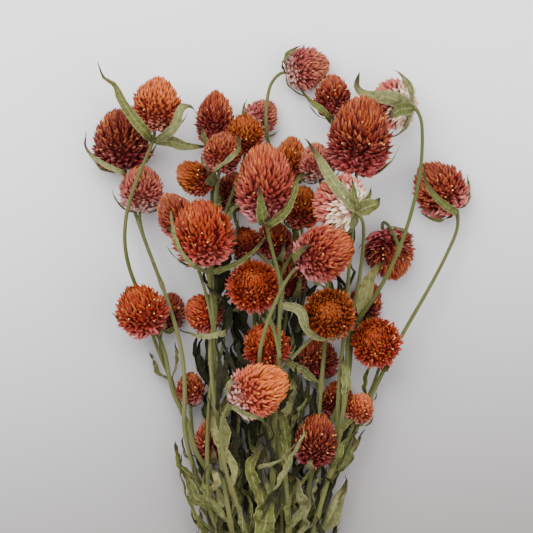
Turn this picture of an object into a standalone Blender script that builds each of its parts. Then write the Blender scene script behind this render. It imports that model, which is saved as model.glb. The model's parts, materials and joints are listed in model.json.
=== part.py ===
"""A bunch of dried globe amaranth, laid down on its side.

Forty-one flower heads stand on eighteen leafy stems, and a twine tie holds the stems together.
The bunch lies along +Y on the plane z = 0, with its heads at +Y and its cut ends at -Y.
Sizes are metres. Plan positions are measured from the middle of the neck, and the whole bunch is
moved at the end so that the origin is the bottom centre of its box.
"""

import math
import random
from dataclasses import dataclass, field

import bmesh
import bpy
import numpy as np
from mathutils import Matrix, Vector
from mathutils.kdtree import KDTree

# Along the bunch: where it is cut, tied, and where the stems start to fan out.
CUT_Y = -0.130
TIE_Y = -0.078
NECK_Y = 0.0
NECK_HALF_WIDTH = 0.031
NECK_HEIGHTS = (0.0075, 0.0185, 0.0295)
CUT_SPREAD = 1.45

# The stems, packed in rows where the tie holds them.
SLOT_ROWS = 3
SLOT_COLUMNS = 6
SLOT_PITCH = 0.00275
ROW_PITCH = 0.00275
STEM_RADIUS = 0.0015
BRANCH_RADIUS = 0.0010
STEM_TIP_RADIUS = 0.0009
STEM_SIDES = 4
CORNER = 1.15
HALF_SIDE = STEM_RADIUS * CORNER * math.cos(math.pi / STEM_SIDES)
SEAT_GAP = 0.0003

# The twine tie.
TWINE_RADIUS = 0.0011
TIE_TURNS = 3
TIE_SEGMENTS = 16
TIE_GAP = 0.0003
TAIL_LENGTH = 0.022

# The heads: bracts stand out from a core, which is CORE times the size over their tips.
CORE = 0.80
BASE_ANGLE = math.radians(26)
CROWN_ANGLE = math.radians(162)
BASE_SWELL = 0.16
PRESS = 0.13
STACK_GAP = 0.0018
LAYER_STEP = 0.0080

# How the stems are routed.
STEP = 0.004
CLEARANCE = 0.0011
HEAD_CLEARANCE = 0.0012
ROUNDS = 108
RESAMPLE_EVERY = 6
FAN_LENGTH = 0.035
THINNING = 0.0005
FAN_THINNING = 0.00025

# The leaves that the stems carry in pairs, and the pair of leafy bracts under each head.
LEAF_THICKNESS = 0.0008
LEAF_TRIALS = 24
LEAF_GAP = 0.0021
SEED = 7


@dataclass
class Bloom:
    """A flower head: its colour, its middle in plan, its size over the bract tips and the way that it points."""

    name: str
    tone: str
    x: float
    y: float
    width: float
    length: float
    lean: float
    rise: float
    layer: int
    fork: float = 0.0
    z: float = 0.0

    def axis(self):
        """Unit vector from the seat on the stem to the crown."""
        lean, rise = math.radians(self.lean), math.radians(self.rise)
        return Vector((math.sin(lean) * math.cos(rise), math.cos(lean) * math.cos(rise), math.sin(rise)))

    def centre(self):
        return Vector((self.x, self.y, self.z))

    def seat(self):
        """Where the stem ends, just under the flat base of the core."""
        return self.centre() - self.axis() * (math.cos(BASE_ANGLE) * self.length / 2 + SEAT_GAP)

    def balls(self):
        """Three balls that together hold the head: their centres and their radius."""
        half = max(self.length - self.width, 0.0) / 2
        radius = max(self.width, self.length - 2 * half) / 2
        return [(self.centre() + self.axis() * half * k, radius) for k in (-1, 0, 1)]


@dataclass
class Stem:
    """A stem cut from the plant: its end head, its side heads and the bends of its way up, as (x, y, z)."""

    name: str
    end: Bloom
    sides: list = field(default_factory=list)
    bends: list = field(default_factory=list)


# Each head: name, colour, x, y, width, length, lean (degrees clockwise from +Y), rise (degrees above level),
# layer (0 lies lowest) and, on a side head, the y at which its branch forks from the stem.
STEMS = [
    Stem(
        "stem_01",
        Bloom("bloom_01", "salmon", -0.0550, 0.2145, 0.0240, 0.0270, 5, 22, 3),
        bends=[(-0.0600, 0.1900, 0.036), (-0.0710, 0.1660, 0.040), (-0.0765, 0.1500, 0.036),
               (-0.0745, 0.1350, 0.026), (-0.0630, 0.1180, 0.014), (-0.0530, 0.0930, 0.014)],
    ),
    Stem(
        "stem_02",
        Bloom("bloom_02", "red", -0.0735, 0.1975, 0.0280, 0.0300, -6, 12, 0),
        [Bloom("bloom_03", "pink", -0.0630, 0.1725, 0.0220, 0.0230, 4, 8, 0, 0.125)],
        bends=[(-0.0690, 0.1650, 0.010), (-0.0600, 0.1400, 0.012), (-0.0480, 0.1150, 0.020),
               (-0.0430, 0.0980, 0.022)],
    ),
    Stem(
        "stem_03",
        Bloom("bloom_04", "orange", -0.0635, 0.1120, 0.0250, 0.0270, -25, 35, 1),
        [Bloom("bloom_05", "dark_red", -0.0495, 0.1105, 0.0170, 0.0190, 20, 0, 0, 0.060),
         Bloom("bloom_06", "red", -0.0385, 0.0725, 0.0140, 0.0160, 0, 20, 1, 0.020)],
    ),
    Stem(
        "stem_04",
        Bloom("bloom_07", "orange", -0.0320, 0.1505, 0.0300, 0.0330, -8, 25, 3),
        [Bloom("bloom_08", "red", -0.0455, 0.1590, 0.0190, 0.0230, -25, 0, 0, 0.095),
         Bloom("bloom_09", "orange", -0.0320, 0.1105, 0.0190, 0.0190, -50, 20, 2, 0.070)],
    ),
    Stem(
        "stem_05",
        Bloom("bloom_10", "red", -0.0260, 0.2080, 0.0185, 0.0270, 3, 4, 1),
        [Bloom("bloom_11", "orange", -0.0365, 0.1780, 0.0170, 0.0200, -60, 20, 2, 0.120),
         Bloom("bloom_12", "red", -0.0280, 0.0460, 0.0170, 0.0220, -5, 5, 1, -0.005)],
    ),
    Stem(
        "stem_06",
        Bloom("bloom_13", "orange", -0.0220, 0.1905, 0.0190, 0.0200, 10, 20, 3),
        [Bloom("bloom_14", "orange", -0.0110, 0.2000, 0.0190, 0.0200, 0, 35, 1, 0.130)],
    ),
    Stem(
        "stem_07",
        Bloom("bloom_15", "pink", -0.0010, 0.1745, 0.0290, 0.0385, -3, 8, 4),
        [Bloom("bloom_16", "dark_red", -0.0165, 0.1715, 0.0190, 0.0190, 0, 10, 0, 0.110),
         Bloom("bloom_17", "dark_red", -0.0115, 0.1460, 0.0160, 0.0150, 0, 50, 2, 0.085)],
    ),
    Stem(
        "stem_08",
        Bloom("bloom_18", "pink", 0.0205, 0.2335, 0.0220, 0.0220, 78, 6, 0),
        bends=[(-0.0020, 0.2270, 0.011), (-0.0060, 0.2180, 0.016), (-0.0060, 0.2030, 0.018),
               (0.0050, 0.1850, 0.010)],
    ),
    Stem(
        "stem_09",
        Bloom("bloom_19", "orange", 0.0120, 0.1870, 0.0170, 0.0230, 5, 5, 1),
        [Bloom("bloom_20", "pink", -0.0025, 0.2095, 0.0170, 0.0170, 40, -12, 0, 0.150)],
    ),
    Stem(
        "stem_10",
        Bloom("bloom_21", "orange", 0.0330, 0.2190, 0.0180, 0.0210, 0, 5, 1),
        [Bloom("bloom_22", "pink", 0.0250, 0.1855, 0.0180, 0.0190, -10, 0, 1, 0.120)],
    ),
    Stem(
        "stem_11",
        Bloom("bloom_23", "red", 0.0465, 0.1985, 0.0310, 0.0390, 6, 12, 3),
        [Bloom("bloom_24", "orange", 0.0175, 0.1635, 0.0190, 0.0210, 0, 20, 2, 0.100)],
    ),
    Stem(
        "stem_12",
        Bloom("bloom_25", "pink", 0.0625, 0.2150, 0.0260, 0.0220, -78, -35, 1),
        [Bloom("bloom_26", "dark_red", 0.0620, 0.1390, 0.0250, 0.0250, 165, 8, 0, 0.150),
         Bloom("bloom_27", "red", 0.0355, 0.0665, 0.0170, 0.0180, -5, 10, 0, 0.015)],
        bends=[(0.0805, 0.2070, 0.030), (0.0815, 0.1920, 0.034), (0.0770, 0.1750, 0.036),
               (0.0720, 0.1570, 0.036), (0.0630, 0.1310, 0.035), (0.0560, 0.1110, 0.030)],
    ),
    Stem(
        "stem_13",
        Bloom("bloom_28", "red", 0.0865, 0.1730, 0.0270, 0.0280, -35, 12, 0),
        [Bloom("bloom_29", "orange", 0.0545, 0.0960, 0.0250, 0.0240, -25, 60, 2, 0.040),
         Bloom("bloom_30", "salmon", 0.0465, 0.0625, 0.0150, 0.0150, 20, 20, 1, 0.020)],
        bends=[(0.0970, 0.1520, 0.008), (0.0925, 0.1390, 0.012), (0.0810, 0.1200, 0.018),
               (0.0675, 0.1010, 0.018), (0.0570, 0.0780, 0.014)],
    ),
    Stem(
        "stem_14",
        Bloom("bloom_31", "pink", 0.0350, 0.1655, 0.0290, 0.0230, -60, -40, 3),
        [Bloom("bloom_32", "dark_red", 0.0495, 0.1150, 0.0170, 0.0220, 20, 0, 0, 0.075)],
        bends=[(0.0480, 0.1480, 0.036), (0.0475, 0.1330, 0.030)],
    ),
    Stem(
        "stem_15",
        Bloom("bloom_33", "pink", 0.0290, 0.1405, 0.0270, 0.0290, 62, 25, 3),
        [Bloom("bloom_34", "orange", 0.0310, 0.1100, 0.0260, 0.0260, 0, 75, 4, 0.070),
         Bloom("bloom_35", "red", 0.0255, 0.0875, 0.0200, 0.0200, 0, 8, 0, 0.040)],
    ),
    Stem(
        "stem_16",
        Bloom("bloom_36", "orange", -0.0065, 0.1240, 0.0260, 0.0260, 0, 66, 4),
        [Bloom("bloom_37", "red", 0.0035, 0.1470, 0.0190, 0.0190, 0, 10, 1, 0.090)],
    ),
    Stem(
        "stem_17",
        Bloom("bloom_38", "orange", -0.0005, 0.0945, 0.0230, 0.0220, -10, 40, 3),
        [Bloom("bloom_39", "dark_red", 0.0105, 0.1285, 0.0180, 0.0220, 0, 0, 0, 0.070)],
    ),
    Stem(
        "stem_18",
        Bloom("bloom_40", "salmon", -0.0035, 0.0725, 0.0260, 0.0300, 62, 15, 5),
        [Bloom("bloom_41", "red", 0.0245, 0.0470, 0.0210, 0.0270, 10, 25, 3, -0.010)],
    ),
]

HEAD_COLOURS = {
    "orange": (0.62, 0.15, 0.03),
    "red": (0.45, 0.06, 0.03),
    "dark_red": (0.22, 0.02, 0.02),
    "pink": (0.58, 0.16, 0.15),
    "salmon": (0.72, 0.28, 0.16),
}
STEM_GREEN = (0.30, 0.31, 0.12)
TWINE_TAN = (0.52, 0.38, 0.22)


def all_blooms():
    """Every head, stem by stem."""
    return [bloom for stem in STEMS for bloom in (stem.end, *stem.sides)]


def settle_heads():
    """Gives each head its height: it lies as low as the table, its layer and the heads under it let it."""
    lying = []
    for bloom in sorted(all_blooms(), key=lambda b: b.layer):
        bloom.z = 0.0
        radius = bloom.balls()[0][1]
        lowest = min(ball.z for ball, _ in bloom.balls())
        height = radius * (1 - PRESS) - lowest if bloom.layer == 0 else radius - lowest
        height += bloom.layer * LAYER_STEP
        for ball, radius in bloom.balls():
            for other, other_radius in lying:
                reach = radius + other_radius + STACK_GAP
                apart = math.hypot(ball.x - other.x, ball.y - other.y)
                if apart < reach:
                    height = max(height, other.z + math.sqrt(reach**2 - apart**2) - ball.z)
        bloom.z = height
        lying += bloom.balls()


def evenly(path, count):
    """`count` points evenly spaced along a path of points."""
    lengths = [0.0]
    for a, b in zip(path, path[1:]):
        lengths.append(lengths[-1] + (b - a).length)
    result, k = [], 0
    for i in range(count):
        want = lengths[-1] * i / (count - 1)
        while k < len(path) - 2 and lengths[k + 1] < want:
            k += 1
        share = (want - lengths[k]) / max(lengths[k + 1] - lengths[k], 1e-9)
        result.append(path[k].lerp(path[k + 1], min(max(share, 0.0), 1.0)))
    return result


def path_length(path):
    return sum((b - a).length for a, b in zip(path, path[1:]))


def smooth_route(points, spacing):
    """Points about every `spacing` along a smooth curve through the given ones."""
    points = [Vector(p) for p in points]
    spans = [(b - a).length for a, b in zip(points, points[1:])]
    slopes = [(b - a) / span for a, b, span in zip(points, points[1:], spans)]
    tangents = [slopes[0]]
    for k in range(1, len(slopes)):
        tangents.append((slopes[k - 1] * spans[k] + slopes[k] * spans[k - 1]) / (spans[k - 1] + spans[k]))
    tangents.append(slopes[-1])
    fine = []
    for k, span in enumerate(spans):
        for i in range(24):
            t = i / 24
            fine.append(
                points[k] * ((1 + 2 * t) * (1 - t) ** 2)
                + tangents[k] * (span * t * (1 - t) ** 2)
                + points[k + 1] * (t * t * (3 - 2 * t))
                - tangents[k + 1] * (span * t * t * (1 - t))
            )
    fine.append(points[-1])
    return evenly(fine, max(4, round(path_length(fine) / spacing) + 1))


@dataclass
class Strand:
    """The centreline of a stem or of one of its branches, from its root to the seat of its head."""

    points: list
    bloom: Bloom
    group: int
    parent: object = None
    fork: float = 0.0
    kept: set = field(default_factory=set)

    def radius(self, i):
        """Radius at a point: it tapers towards the head."""
        share = i / (len(self.points) - 1)
        if self.parent is None:
            return STEM_RADIUS + (STEM_TIP_RADIUS - STEM_RADIUS) * share**1.5
        return BRANCH_RADIUS + (STEM_TIP_RADIUS - BRANCH_RADIUS) * share

    def joint(self):
        """The index of the parent's point that this branch grows from."""
        return round(self.fork * (len(self.parent.points) - 1))

    def held(self, i):
        """True for a point that keeps its place: those by the head and, on a stem, the tied length."""
        if i >= len(self.points) - 3:
            return True
        return self.parent is None and self.points[i].y < TIE_Y + 0.013

    def tangent(self, i):
        a, b = self.points[max(i - 1, 0)], self.points[min(i + 1, len(self.points) - 1)]
        return (b - a).normalized()

    def respace(self):
        """Makes the points even again, with the last three in line with the head."""
        count = max(4, round(path_length(self.points) / STEP) + 1)
        self.points = evenly(self.points, count)
        for k in (1, 2):
            self.points[-1 - k] = self.points[-1] - self.bloom.axis() * STEP * k


def slot_places():
    """For each stem, its (column, row) in the tie: rows by how high its end head lies, columns by its x."""
    by_height = sorted(range(len(STEMS)), key=lambda i: STEMS[i].end.z)
    places = {}
    for row in range(SLOT_ROWS):
        members = by_height[row * SLOT_COLUMNS : (row + 1) * SLOT_COLUMNS]
        for column, i in enumerate(sorted(members, key=lambda i: STEMS[i].end.x)):
            places[i] = (column, row)
    return places


def tie_middle():
    """Height of the middle of the tied stems: the tie lies on the table."""
    return ROW_PITCH + HALF_SIDE + TIE_GAP + 2 * TWINE_RADIUS


def route_stem(group, stem, place):
    """The stem's strand, from the cut end through the tie and the neck to its end head."""
    column, row = place
    across = column - (SLOT_COLUMNS - 1) / 2 + (0.25 if row == 1 else -0.25)
    x = across * SLOT_PITCH
    z = tie_middle() + (row - 1) * ROW_PITCH
    neck = Vector((across / (SLOT_COLUMNS / 2) * NECK_HALF_WIDTH, NECK_Y, NECK_HEIGHTS[row]))
    cut = Vector((x * CUT_SPREAD, CUT_Y + 0.006 * math.sin(5 * column + 2 * row), z + (row - 1) * 0.0012))
    tied = [Vector((x, TIE_Y + y, z)) for y in (-0.010, -0.004, 0.004, 0.010)]
    seat, axis = stem.end.seat(), stem.end.axis()
    bends = [Vector(b) for b in reversed(stem.bends)]
    way = [cut, *tied, neck, *bends, seat - axis * 0.014, seat]
    return Strand(smooth_route(way, STEP), stem.end, group)


def route_branch(group, bloom, parent):
    """The strand of a side head, which forks from the parent strand at the head's fork."""
    joint = next(i for i, p in enumerate(parent.points) if p.y >= bloom.fork)
    root, along = parent.points[joint], parent.tangent(joint)
    seat, axis = bloom.seat(), bloom.axis()
    run = seat - axis * 0.011
    out = root + along * (run - root).length * 0.25 + (run - root) * 0.12
    points = smooth_route([root, out, run, seat], STEP)
    return Strand(points, bloom, group, parent, joint / (len(parent.points) - 1))


def route_strands():
    """Every strand, a stem before its own branches."""
    strands = []
    places = slot_places()
    for group, stem in enumerate(STEMS):
        main = route_stem(group, stem, places[group])
        strands += [main, *(route_branch(group, side, main) for side in stem.sides)]
    return strands


def push_out(point, radius, balls, own=None):
    """The point, moved out of every ball that it is too near to."""
    for bloom, ball, ball_radius in balls:
        if bloom is own:
            continue
        away = point - ball
        need = ball_radius + radius + HEAD_CLEARANCE
        if away.length < need:
            point = ball + away.normalized() * need if away.length > 1e-6 else point + Vector((0, 0, need))
    return point


def bend_clear(strands):
    """Bends the strands round the heads and each other, a little at a time, as stiff stems in a bunch give way."""
    balls = [(bloom, ball, radius) for bloom in all_blooms() for ball, radius in bloom.balls()]
    reach = 2 * STEM_RADIUS * CORNER + CLEARANCE
    for turn in range(ROUNDS):
        settle = turn >= ROUNDS - 36
        if turn % RESAMPLE_EVERY == 0 and not settle:
            for strand in strands:
                strand.respace()
        index = [(s, i) for s in range(len(strands)) for i in range(len(strands[s].points))]
        tree = KDTree(len(index))
        for k, (s, i) in enumerate(index):
            tree.insert(strands[s].points[i], k)
        tree.balance()
        moves = {}
        for s, i in index:
            strand = strands[s]
            if strand.held(i):
                continue
            point, push = strand.points[i], Vector()
            for other, m, apart in tree.find_range(point, reach):
                t, j = index[m]
                need = (strand.radius(i) + strands[t].radius(j)) * CORNER + CLEARANCE
                need *= min(1.0, 0.6 + 0.4 * (point.y - TIE_Y - 0.013) / FAN_LENGTH)
                if strands[t].group != strand.group and 1e-7 < apart < need:
                    share = 1.1 if strands[t].held(j) else 0.6
                    push += (point - other) / apart * (need - apart) * share
            moves[(s, i)] = push
        for s, strand in enumerate(strands):
            old = [p.copy() for p in strand.points]
            last = len(old) - 1
            for i in range(1, last):
                if strand.held(i):
                    continue
                ease = 0.08 if settle else 0.4
                point = old[i] + ease * ((old[i - 1] + old[i + 1]) / 2 - old[i]) + moves[(s, i)]
                own = strand.bloom if last - i < 5 else None
                point = push_out(point, strand.radius(i), balls, own)
                point.z = max(point.z, strand.radius(i) * CORNER + 0.0002)
                strand.points[i] = point
            if strand.parent is not None:
                strand.points[0] = strand.parent.points[strand.joint()].copy()


@dataclass
class Leaf:
    """A dried leaf: the line of its midrib, its half width and how its blade is rolled about that line."""

    path: list
    half_width: float
    roll: float
    twist: float
    shape: str = "leaf"

    def widths(self, count):
        """Half width at each of `count` stations from the root to the tip."""
        powers = {"leaf": (0.75, 0.9), "bract": (0.55, 1.1)}[self.shape]
        peak = (powers[0] / sum(powers)) ** powers[0] * (powers[1] / sum(powers)) ** powers[1]
        shares = [i / (count - 1) for i in range(count)]
        return [self.half_width * t ** powers[0] * (1 - t) ** powers[1] / peak for t in shares]

    def stations(self, count):
        """(midrib point, side vector, face normal, half width) at `count` places along the leaf."""
        path = evenly(self.path, count)
        rows = []
        side = None
        for i, (point, half) in enumerate(zip(path, self.widths(count))):
            along = (path[min(i + 1, count - 1)] - path[max(i - 1, 0)]).normalized()
            if side is None:
                side = along.cross(Vector((0, 0, 1)))
                side = side if side.length > 0.1 else along.cross(Vector((1, 0, 0)))
                side = Matrix.Rotation(self.roll, 3, along) @ side.normalized()
            side = (side - along * side.dot(along)).normalized()
            side = Matrix.Rotation(self.twist / (count - 1), 3, along) @ side
            rows.append((point, side, side.cross(along).normalized(), half))
        return rows

    def marks(self):
        """Points on the midrib and both edges, for testing what the leaf is clear of."""
        found = []
        for point, side, _, half in self.stations(15):
            found += [point, point + side * half, point - side * half]
        return np.array([tuple(p) for p in found])


# Leaves that show plainly from above: the head whose strand carries the leaf, or None for the nearest strand,
# the half width, the roll and twist in degrees, and the plan of its midrib as (x, y). It lies over what it crosses.
SHOWN_LEAVES = [
    ("bloom_01", 0.0031, 10, 110, [(-0.0580, 0.1965), (-0.0665, 0.2075), (-0.0725, 0.2165), (-0.0760, 0.2240),
                                   (-0.0820, 0.2285), (-0.0845, 0.2355)]),
    ("bloom_01", 0.0030, -20, 60, [(-0.0560, 0.1965), (-0.0465, 0.2015), (-0.0410, 0.2130), (-0.0380, 0.2135),
                                   (-0.0340, 0.2075)]),
    ("bloom_01", 0.0021, 20, 150, [(-0.0560, 0.1950), (-0.0495, 0.1960), (-0.0415, 0.1935), (-0.0295, 0.1935)]),
    ("bloom_02", 0.0024, 15, 40, [(-0.0730, 0.1810), (-0.0860, 0.1875), (-0.0905, 0.1925), (-0.0910, 0.2005)]),
    ("bloom_13", 0.0050, 0, 30, [(-0.0320, 0.1740), (-0.0280, 0.1770), (-0.0220, 0.1830), (-0.0135, 0.1910),
                                 (-0.0145, 0.1985)]),
    ("bloom_15", 0.0030, 10, 80, [(0.0010, 0.1555), (0.0090, 0.1605), (0.0130, 0.1690), (0.0150, 0.1765),
                                  (0.0235, 0.1800)]),
    ("bloom_31", 0.0034, 0, 30, [(0.0400, 0.1630), (0.0315, 0.1765), (0.0240, 0.1890), (0.0190, 0.1965)]),
    ("bloom_31", 0.0045, 0, 40, [(0.0410, 0.1630), (0.0490, 0.1625), (0.0540, 0.1645), (0.0560, 0.1670)]),
    ("bloom_31", 0.0026, 0, 30, [(0.0420, 0.1640), (0.0430, 0.1700), (0.0420, 0.1770)]),
    ("bloom_25", 0.0040, 0, 60, [(0.0700, 0.2145), (0.0590, 0.2180), (0.0490, 0.2190), (0.0450, 0.2230),
                                 (0.0465, 0.2300)]),
    ("bloom_28", 0.0026, 0, 20, [(0.0920, 0.1640), (0.0840, 0.1680), (0.0785, 0.1765), (0.0790, 0.1840)]),
    ("bloom_28", 0.0020, 0, 40, [(0.0940, 0.1640), (0.0985, 0.1670), (0.1015, 0.1705)]),
    ("bloom_21", 0.0022, 10, 60, [(0.0350, 0.2070), (0.0280, 0.2110), (0.0205, 0.2170), (0.0165, 0.2230)]),
    (None, 0.0033, 0, 40, [(0.0085, 0.1125), (0.0165, 0.1115), (0.0205, 0.1015), (0.0315, 0.0975),
                           (0.0390, 0.1015)]),
    (None, 0.0036, 0, 20, [(0.0480, 0.1060), (0.0490, 0.1180), (0.0540, 0.1315), (0.0590, 0.1360)]),
    ("bloom_07", 0.0020, 20, 30, [(-0.0290, 0.1280), (-0.0390, 0.1360), (-0.0460, 0.1490), (-0.0475, 0.1610)]),
    ("bloom_07", 0.0024, 10, 90, [(-0.0290, 0.1280), (-0.0150, 0.1350), (-0.0050, 0.1430), (0.0020, 0.1520)]),
    ("bloom_09", 0.0022, 0, 40, [(-0.0200, 0.1000), (-0.0335, 0.0985), (-0.0435, 0.1015)]),
    ("bloom_29", 0.0020, 0, 40, [(0.0580, 0.0860), (0.0510, 0.0835), (0.0455, 0.0890)]),
    ("bloom_40", 0.0018, 0, 80, [(-0.0090, 0.0640), (-0.0015, 0.0555), (0.0015, 0.0505)]),
    ("bloom_07", 0.0030, 0, 30, [(-0.0240, 0.0700), (-0.0215, 0.0775), (-0.0265, 0.0860)]),
    (None, 0.0030, 0, 50, [(-0.0150, 0.0215), (-0.0170, 0.0340), (-0.0225, 0.0425), (-0.0265, 0.0515),
                           (-0.0275, 0.0615), (-0.0300, 0.0680)]),
    (None, 0.0024, 10, 60, [(-0.0175, 0.0365), (-0.0205, 0.0490), (-0.0230, 0.0615), (-0.0200, 0.0690)]),
    (None, 0.0058, 0, 20, [(-0.0010, -0.0060), (-0.0005, 0.0115), (-0.0025, 0.0215), (-0.0025, 0.0270)]),
    (None, 0.0032, 0, 30, [(0.0080, 0.0280), (0.0095, 0.0440), (0.0085, 0.0545), (0.0055, 0.0640)]),
    (None, 0.0016, 0, 60, [(-0.0055, 0.0315), (0.0040, 0.0355), (0.0120, 0.0425), (0.0175, 0.0505)]),
    (None, 0.0022, 0, 50, [(0.0025, 0.0215), (0.0090, 0.0315), (0.0145, 0.0415), (0.0180, 0.0515),
                           (0.0165, 0.0590)]),
    (None, 0.0020, 0, 60, [(0.0370, 0.0290), (0.0360, 0.0390), (0.0385, 0.0460), (0.0455, 0.0505)]),
    ("bloom_28", 0.0026, 0, 90, [(0.0350, 0.0240), (0.0425, 0.0365), (0.0475, 0.0440), (0.0510, 0.0515),
                                 (0.0540, 0.0590), (0.0525, 0.0640)]),
    (None, 0.0025, 0, 30, [(0.0375, 0.0500), (0.0400, 0.0555), (0.0440, 0.0585)]),
    (None, 0.0026, 0, 90, [(-0.0385, 0.0240), (-0.0425, 0.0315), (-0.0450, 0.0390), (-0.0460, 0.0450)]),
    (None, 0.0024, 0, 60, [(-0.0335, 0.0200), (-0.0270, 0.0215), (-0.0250, 0.0275), (-0.0280, 0.0325)]),
    (None, 0.0024, 0, 30, [(0.0275, 0.0740), (0.0190, 0.0805), (0.0115, 0.0850), (0.0055, 0.0875)]),
    (None, 0.0027, 0, 40, [(0.0425, 0.0665), (0.0395, 0.0770), (0.0380, 0.0890)]),
]


class Placed:
    """What the leaves keep clear of: the heads, the strands and the leaves placed so far."""

    def __init__(self, strands):
        blooms = all_blooms()
        self.centres = np.array([tuple(b.centre()) for b in blooms])
        self.axes = np.array([tuple(b.axis()) for b in blooms])
        self.half_widths = np.array([b.width / 2 for b in blooms])
        self.half_lengths = np.array([b.length / 2 for b in blooms])
        self.points = np.zeros((0, 3))
        self.needs = np.zeros(0)
        self.groups = np.zeros(0, int)
        for strand in strands:
            points = evenly(strand.points, 2 * len(strand.points) - 1)
            needs = [strand.radius(i / 2) * CORNER + LEAF_GAP * 0.6 for i in range(len(points))]
            self.extend(points, needs, strand.group)

    def extend(self, points, needs, group):
        self.points = np.vstack([self.points, [tuple(p) for p in points]])
        self.needs = np.concatenate([self.needs, needs])
        self.groups = np.concatenate([self.groups, np.full(len(points), group)])

    def add(self, leaf, group):
        marks = leaf.marks()
        self.extend(marks, np.full(len(marks), LEAF_GAP), group)

    def head_room(self, marks):
        """How far each mark is outside each head, which is an egg cut off flat at its base."""
        offset = marks[:, None] - self.centres[None]
        along = (offset * self.axes[None]).sum(2)
        across = np.sqrt(np.maximum((offset**2).sum(2) - along**2, 0.0))
        wide = self.half_widths * np.where(along < 0, 1.1, 1.0)
        ratio = np.sqrt((across / wide) ** 2 + (along / self.half_lengths) ** 2)
        outside = (ratio - 1) * np.minimum(self.half_widths, self.half_lengths)
        below = -along - self.half_lengths * math.cos(BASE_ANGLE)
        return np.maximum(outside, below)

    def room(self, leaf, group, fanned=False):
        """How far the leaf, past its root, is clear of everything else and, if fanned, inside the bunch's fan."""
        marks = leaf.marks()[6:]
        least = self.head_room(marks).min() - 0.0009
        low, high = marks.min(0) - 0.005, marks.max(0) + 0.005
        close = (self.points > low).all(1) & (self.points < high).all(1)
        for mine, tested in ((False, marks), (True, marks[12:])):
            near = close & ((self.groups == group) == mine)
            if near.any():
                apart = np.linalg.norm(tested[:, None] - self.points[near][None], axis=2)
                least = min(least, (apart - self.needs[near]).min())
        fan_marks = marks[marks[:, 1] < 0.085]
        if fanned and len(fan_marks):
            y = fan_marks[:, 1]
            fan = 0.038 + np.where(y > 0, 0.26, 0.16) * y - np.abs(fan_marks[:, 0])
            least = min(least, fan.min(), (0.040 + 0.3 * y - fan_marks[:, 2]).min())
        return min(least, marks[:, 2].min() - 0.0006)

    def lifted(self, path, margin, group):
        """The path with each point raised over the heads and foreign strands under it, and the steps eased."""
        plan = np.array([tuple(p) for p in path])
        heights = plan[:, 2].copy()
        foreign = self.groups != group
        points, needs = self.points[foreign], self.needs[foreign] + margin
        for i, (x, y, z) in enumerate(plan):
            if i == 0:
                continue
            apart = np.hypot(points[:, 0] - x, points[:, 1] - y)
            over = apart < needs
            if over.any():
                heights[i] = max(heights[i], (points[over, 2] + np.sqrt(needs[over] ** 2 - apart[over] ** 2)).max())
            while self.head_room(np.array([[x, y, heights[i]]])).min() < margin:
                heights[i] += 0.0008
        for _ in range(8):
            for i in range(1, len(heights) - 1):
                heights[i] = max(heights[i], (heights[i - 1] + heights[i + 1]) / 2)
        return [Vector((x, y, z)) for x, y, z in zip(plan[:, 0], plan[:, 1], heights)]


def nearest_node(strands, name, x, y):
    """The (strand, point index) that a leaf shown at (x, y) grows from: near it in plan, and high up."""
    best = None
    for strand in strands:
        if name not in (None, strand.bloom.name):
            continue
        for i in range(2, len(strand.points) - 1):
            point = strand.points[i]
            cost = math.hypot(point.x - x, point.y - y) - (0.0 if name else 0.2 * point.z)
            if best is None or cost < best[0]:
                best = (cost, strand, i)
    return best[1], best[2]


def place_shown_leaves(strands, placed):
    """The leaves of SHOWN_LEAVES as {group: [Leaf]}."""
    found = {}
    for name, half_width, roll, twist, plan in SHOWN_LEAVES:
        strand, node = nearest_node(strands, name, *plan[0])
        root = strand.points[node].copy()
        best, best_room = None, -0.0001
        for trial in range(16):
            way = smooth_route([root, *(Vector((x, y, root.z)) for x, y in plan[1:])], 0.003)
            margin = 0.0012 + half_width * 0.25 * (trial // 2)
            shrink = 1 - 0.025 * trial
            path = placed.lifted(way, margin, strand.group)
            leaf = Leaf(path, half_width * shrink, math.radians(roll + 14 * (trial % 3 - 1)), math.radians(twist))
            room = placed.room(leaf, strand.group)
            if room > best_room:
                best, best_room = leaf, room
            if room > 0.0003:
                break
        if best is not None:
            strand.kept.add(node)
            found.setdefault(strand.group, []).append(best)
            placed.add(best, strand.group)
    return found


def leaf_nodes(strand):
    """The (y, leaf length, half width) of each pair of leaves that a strand carries."""
    if strand.parent is not None:
        return [(strand.points[0].y + 0.012, 0.024, 0.0021)]
    nodes = [
        (-0.028, 0.040, 0.0030),
        (0.002, 0.040, 0.0032),
        (0.030, 0.036, 0.0030),
        (0.062, 0.030, 0.0026),
    ]
    return [node for node in nodes if node[0] < strand.points[-1].y - 0.03]


def try_leaf(draw, strand, node, turn, length, half_width):
    """One way for a dried leaf to hang from its node: it stands out a little, curls along the stem and crumples."""
    root, along = strand.points[node], strand.tangent(node)
    out = along.orthogonal().normalized()
    out = Matrix.Rotation(turn + draw.uniform(-0.9, 0.9), 3, along) @ out
    spread = draw.uniform(0.06, 0.40)
    curl = draw.uniform(-0.5, 0.9)
    sway = out.cross(along) * draw.uniform(-0.25, 0.25)
    size = length * draw.uniform(0.75, 1.1)
    path = []
    for k in range(9):
        t = k / 8
        lift = spread * t + 0.22 * math.sin(math.pi * t) - curl * 0.35 * t * t
        kink = Vector((draw.uniform(-1, 1), draw.uniform(-1, 1), draw.uniform(-1, 1))) * 0.035 * size * (k > 1)
        path.append(root + along * size * t * (1 - 0.12 * abs(curl) * t) + (out * lift * 0.8 + sway * t * t) * size + kink)
    return Leaf(path, half_width * draw.uniform(0.8, 1.15), draw.uniform(0, math.tau), draw.uniform(-2.0, 2.0))


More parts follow.
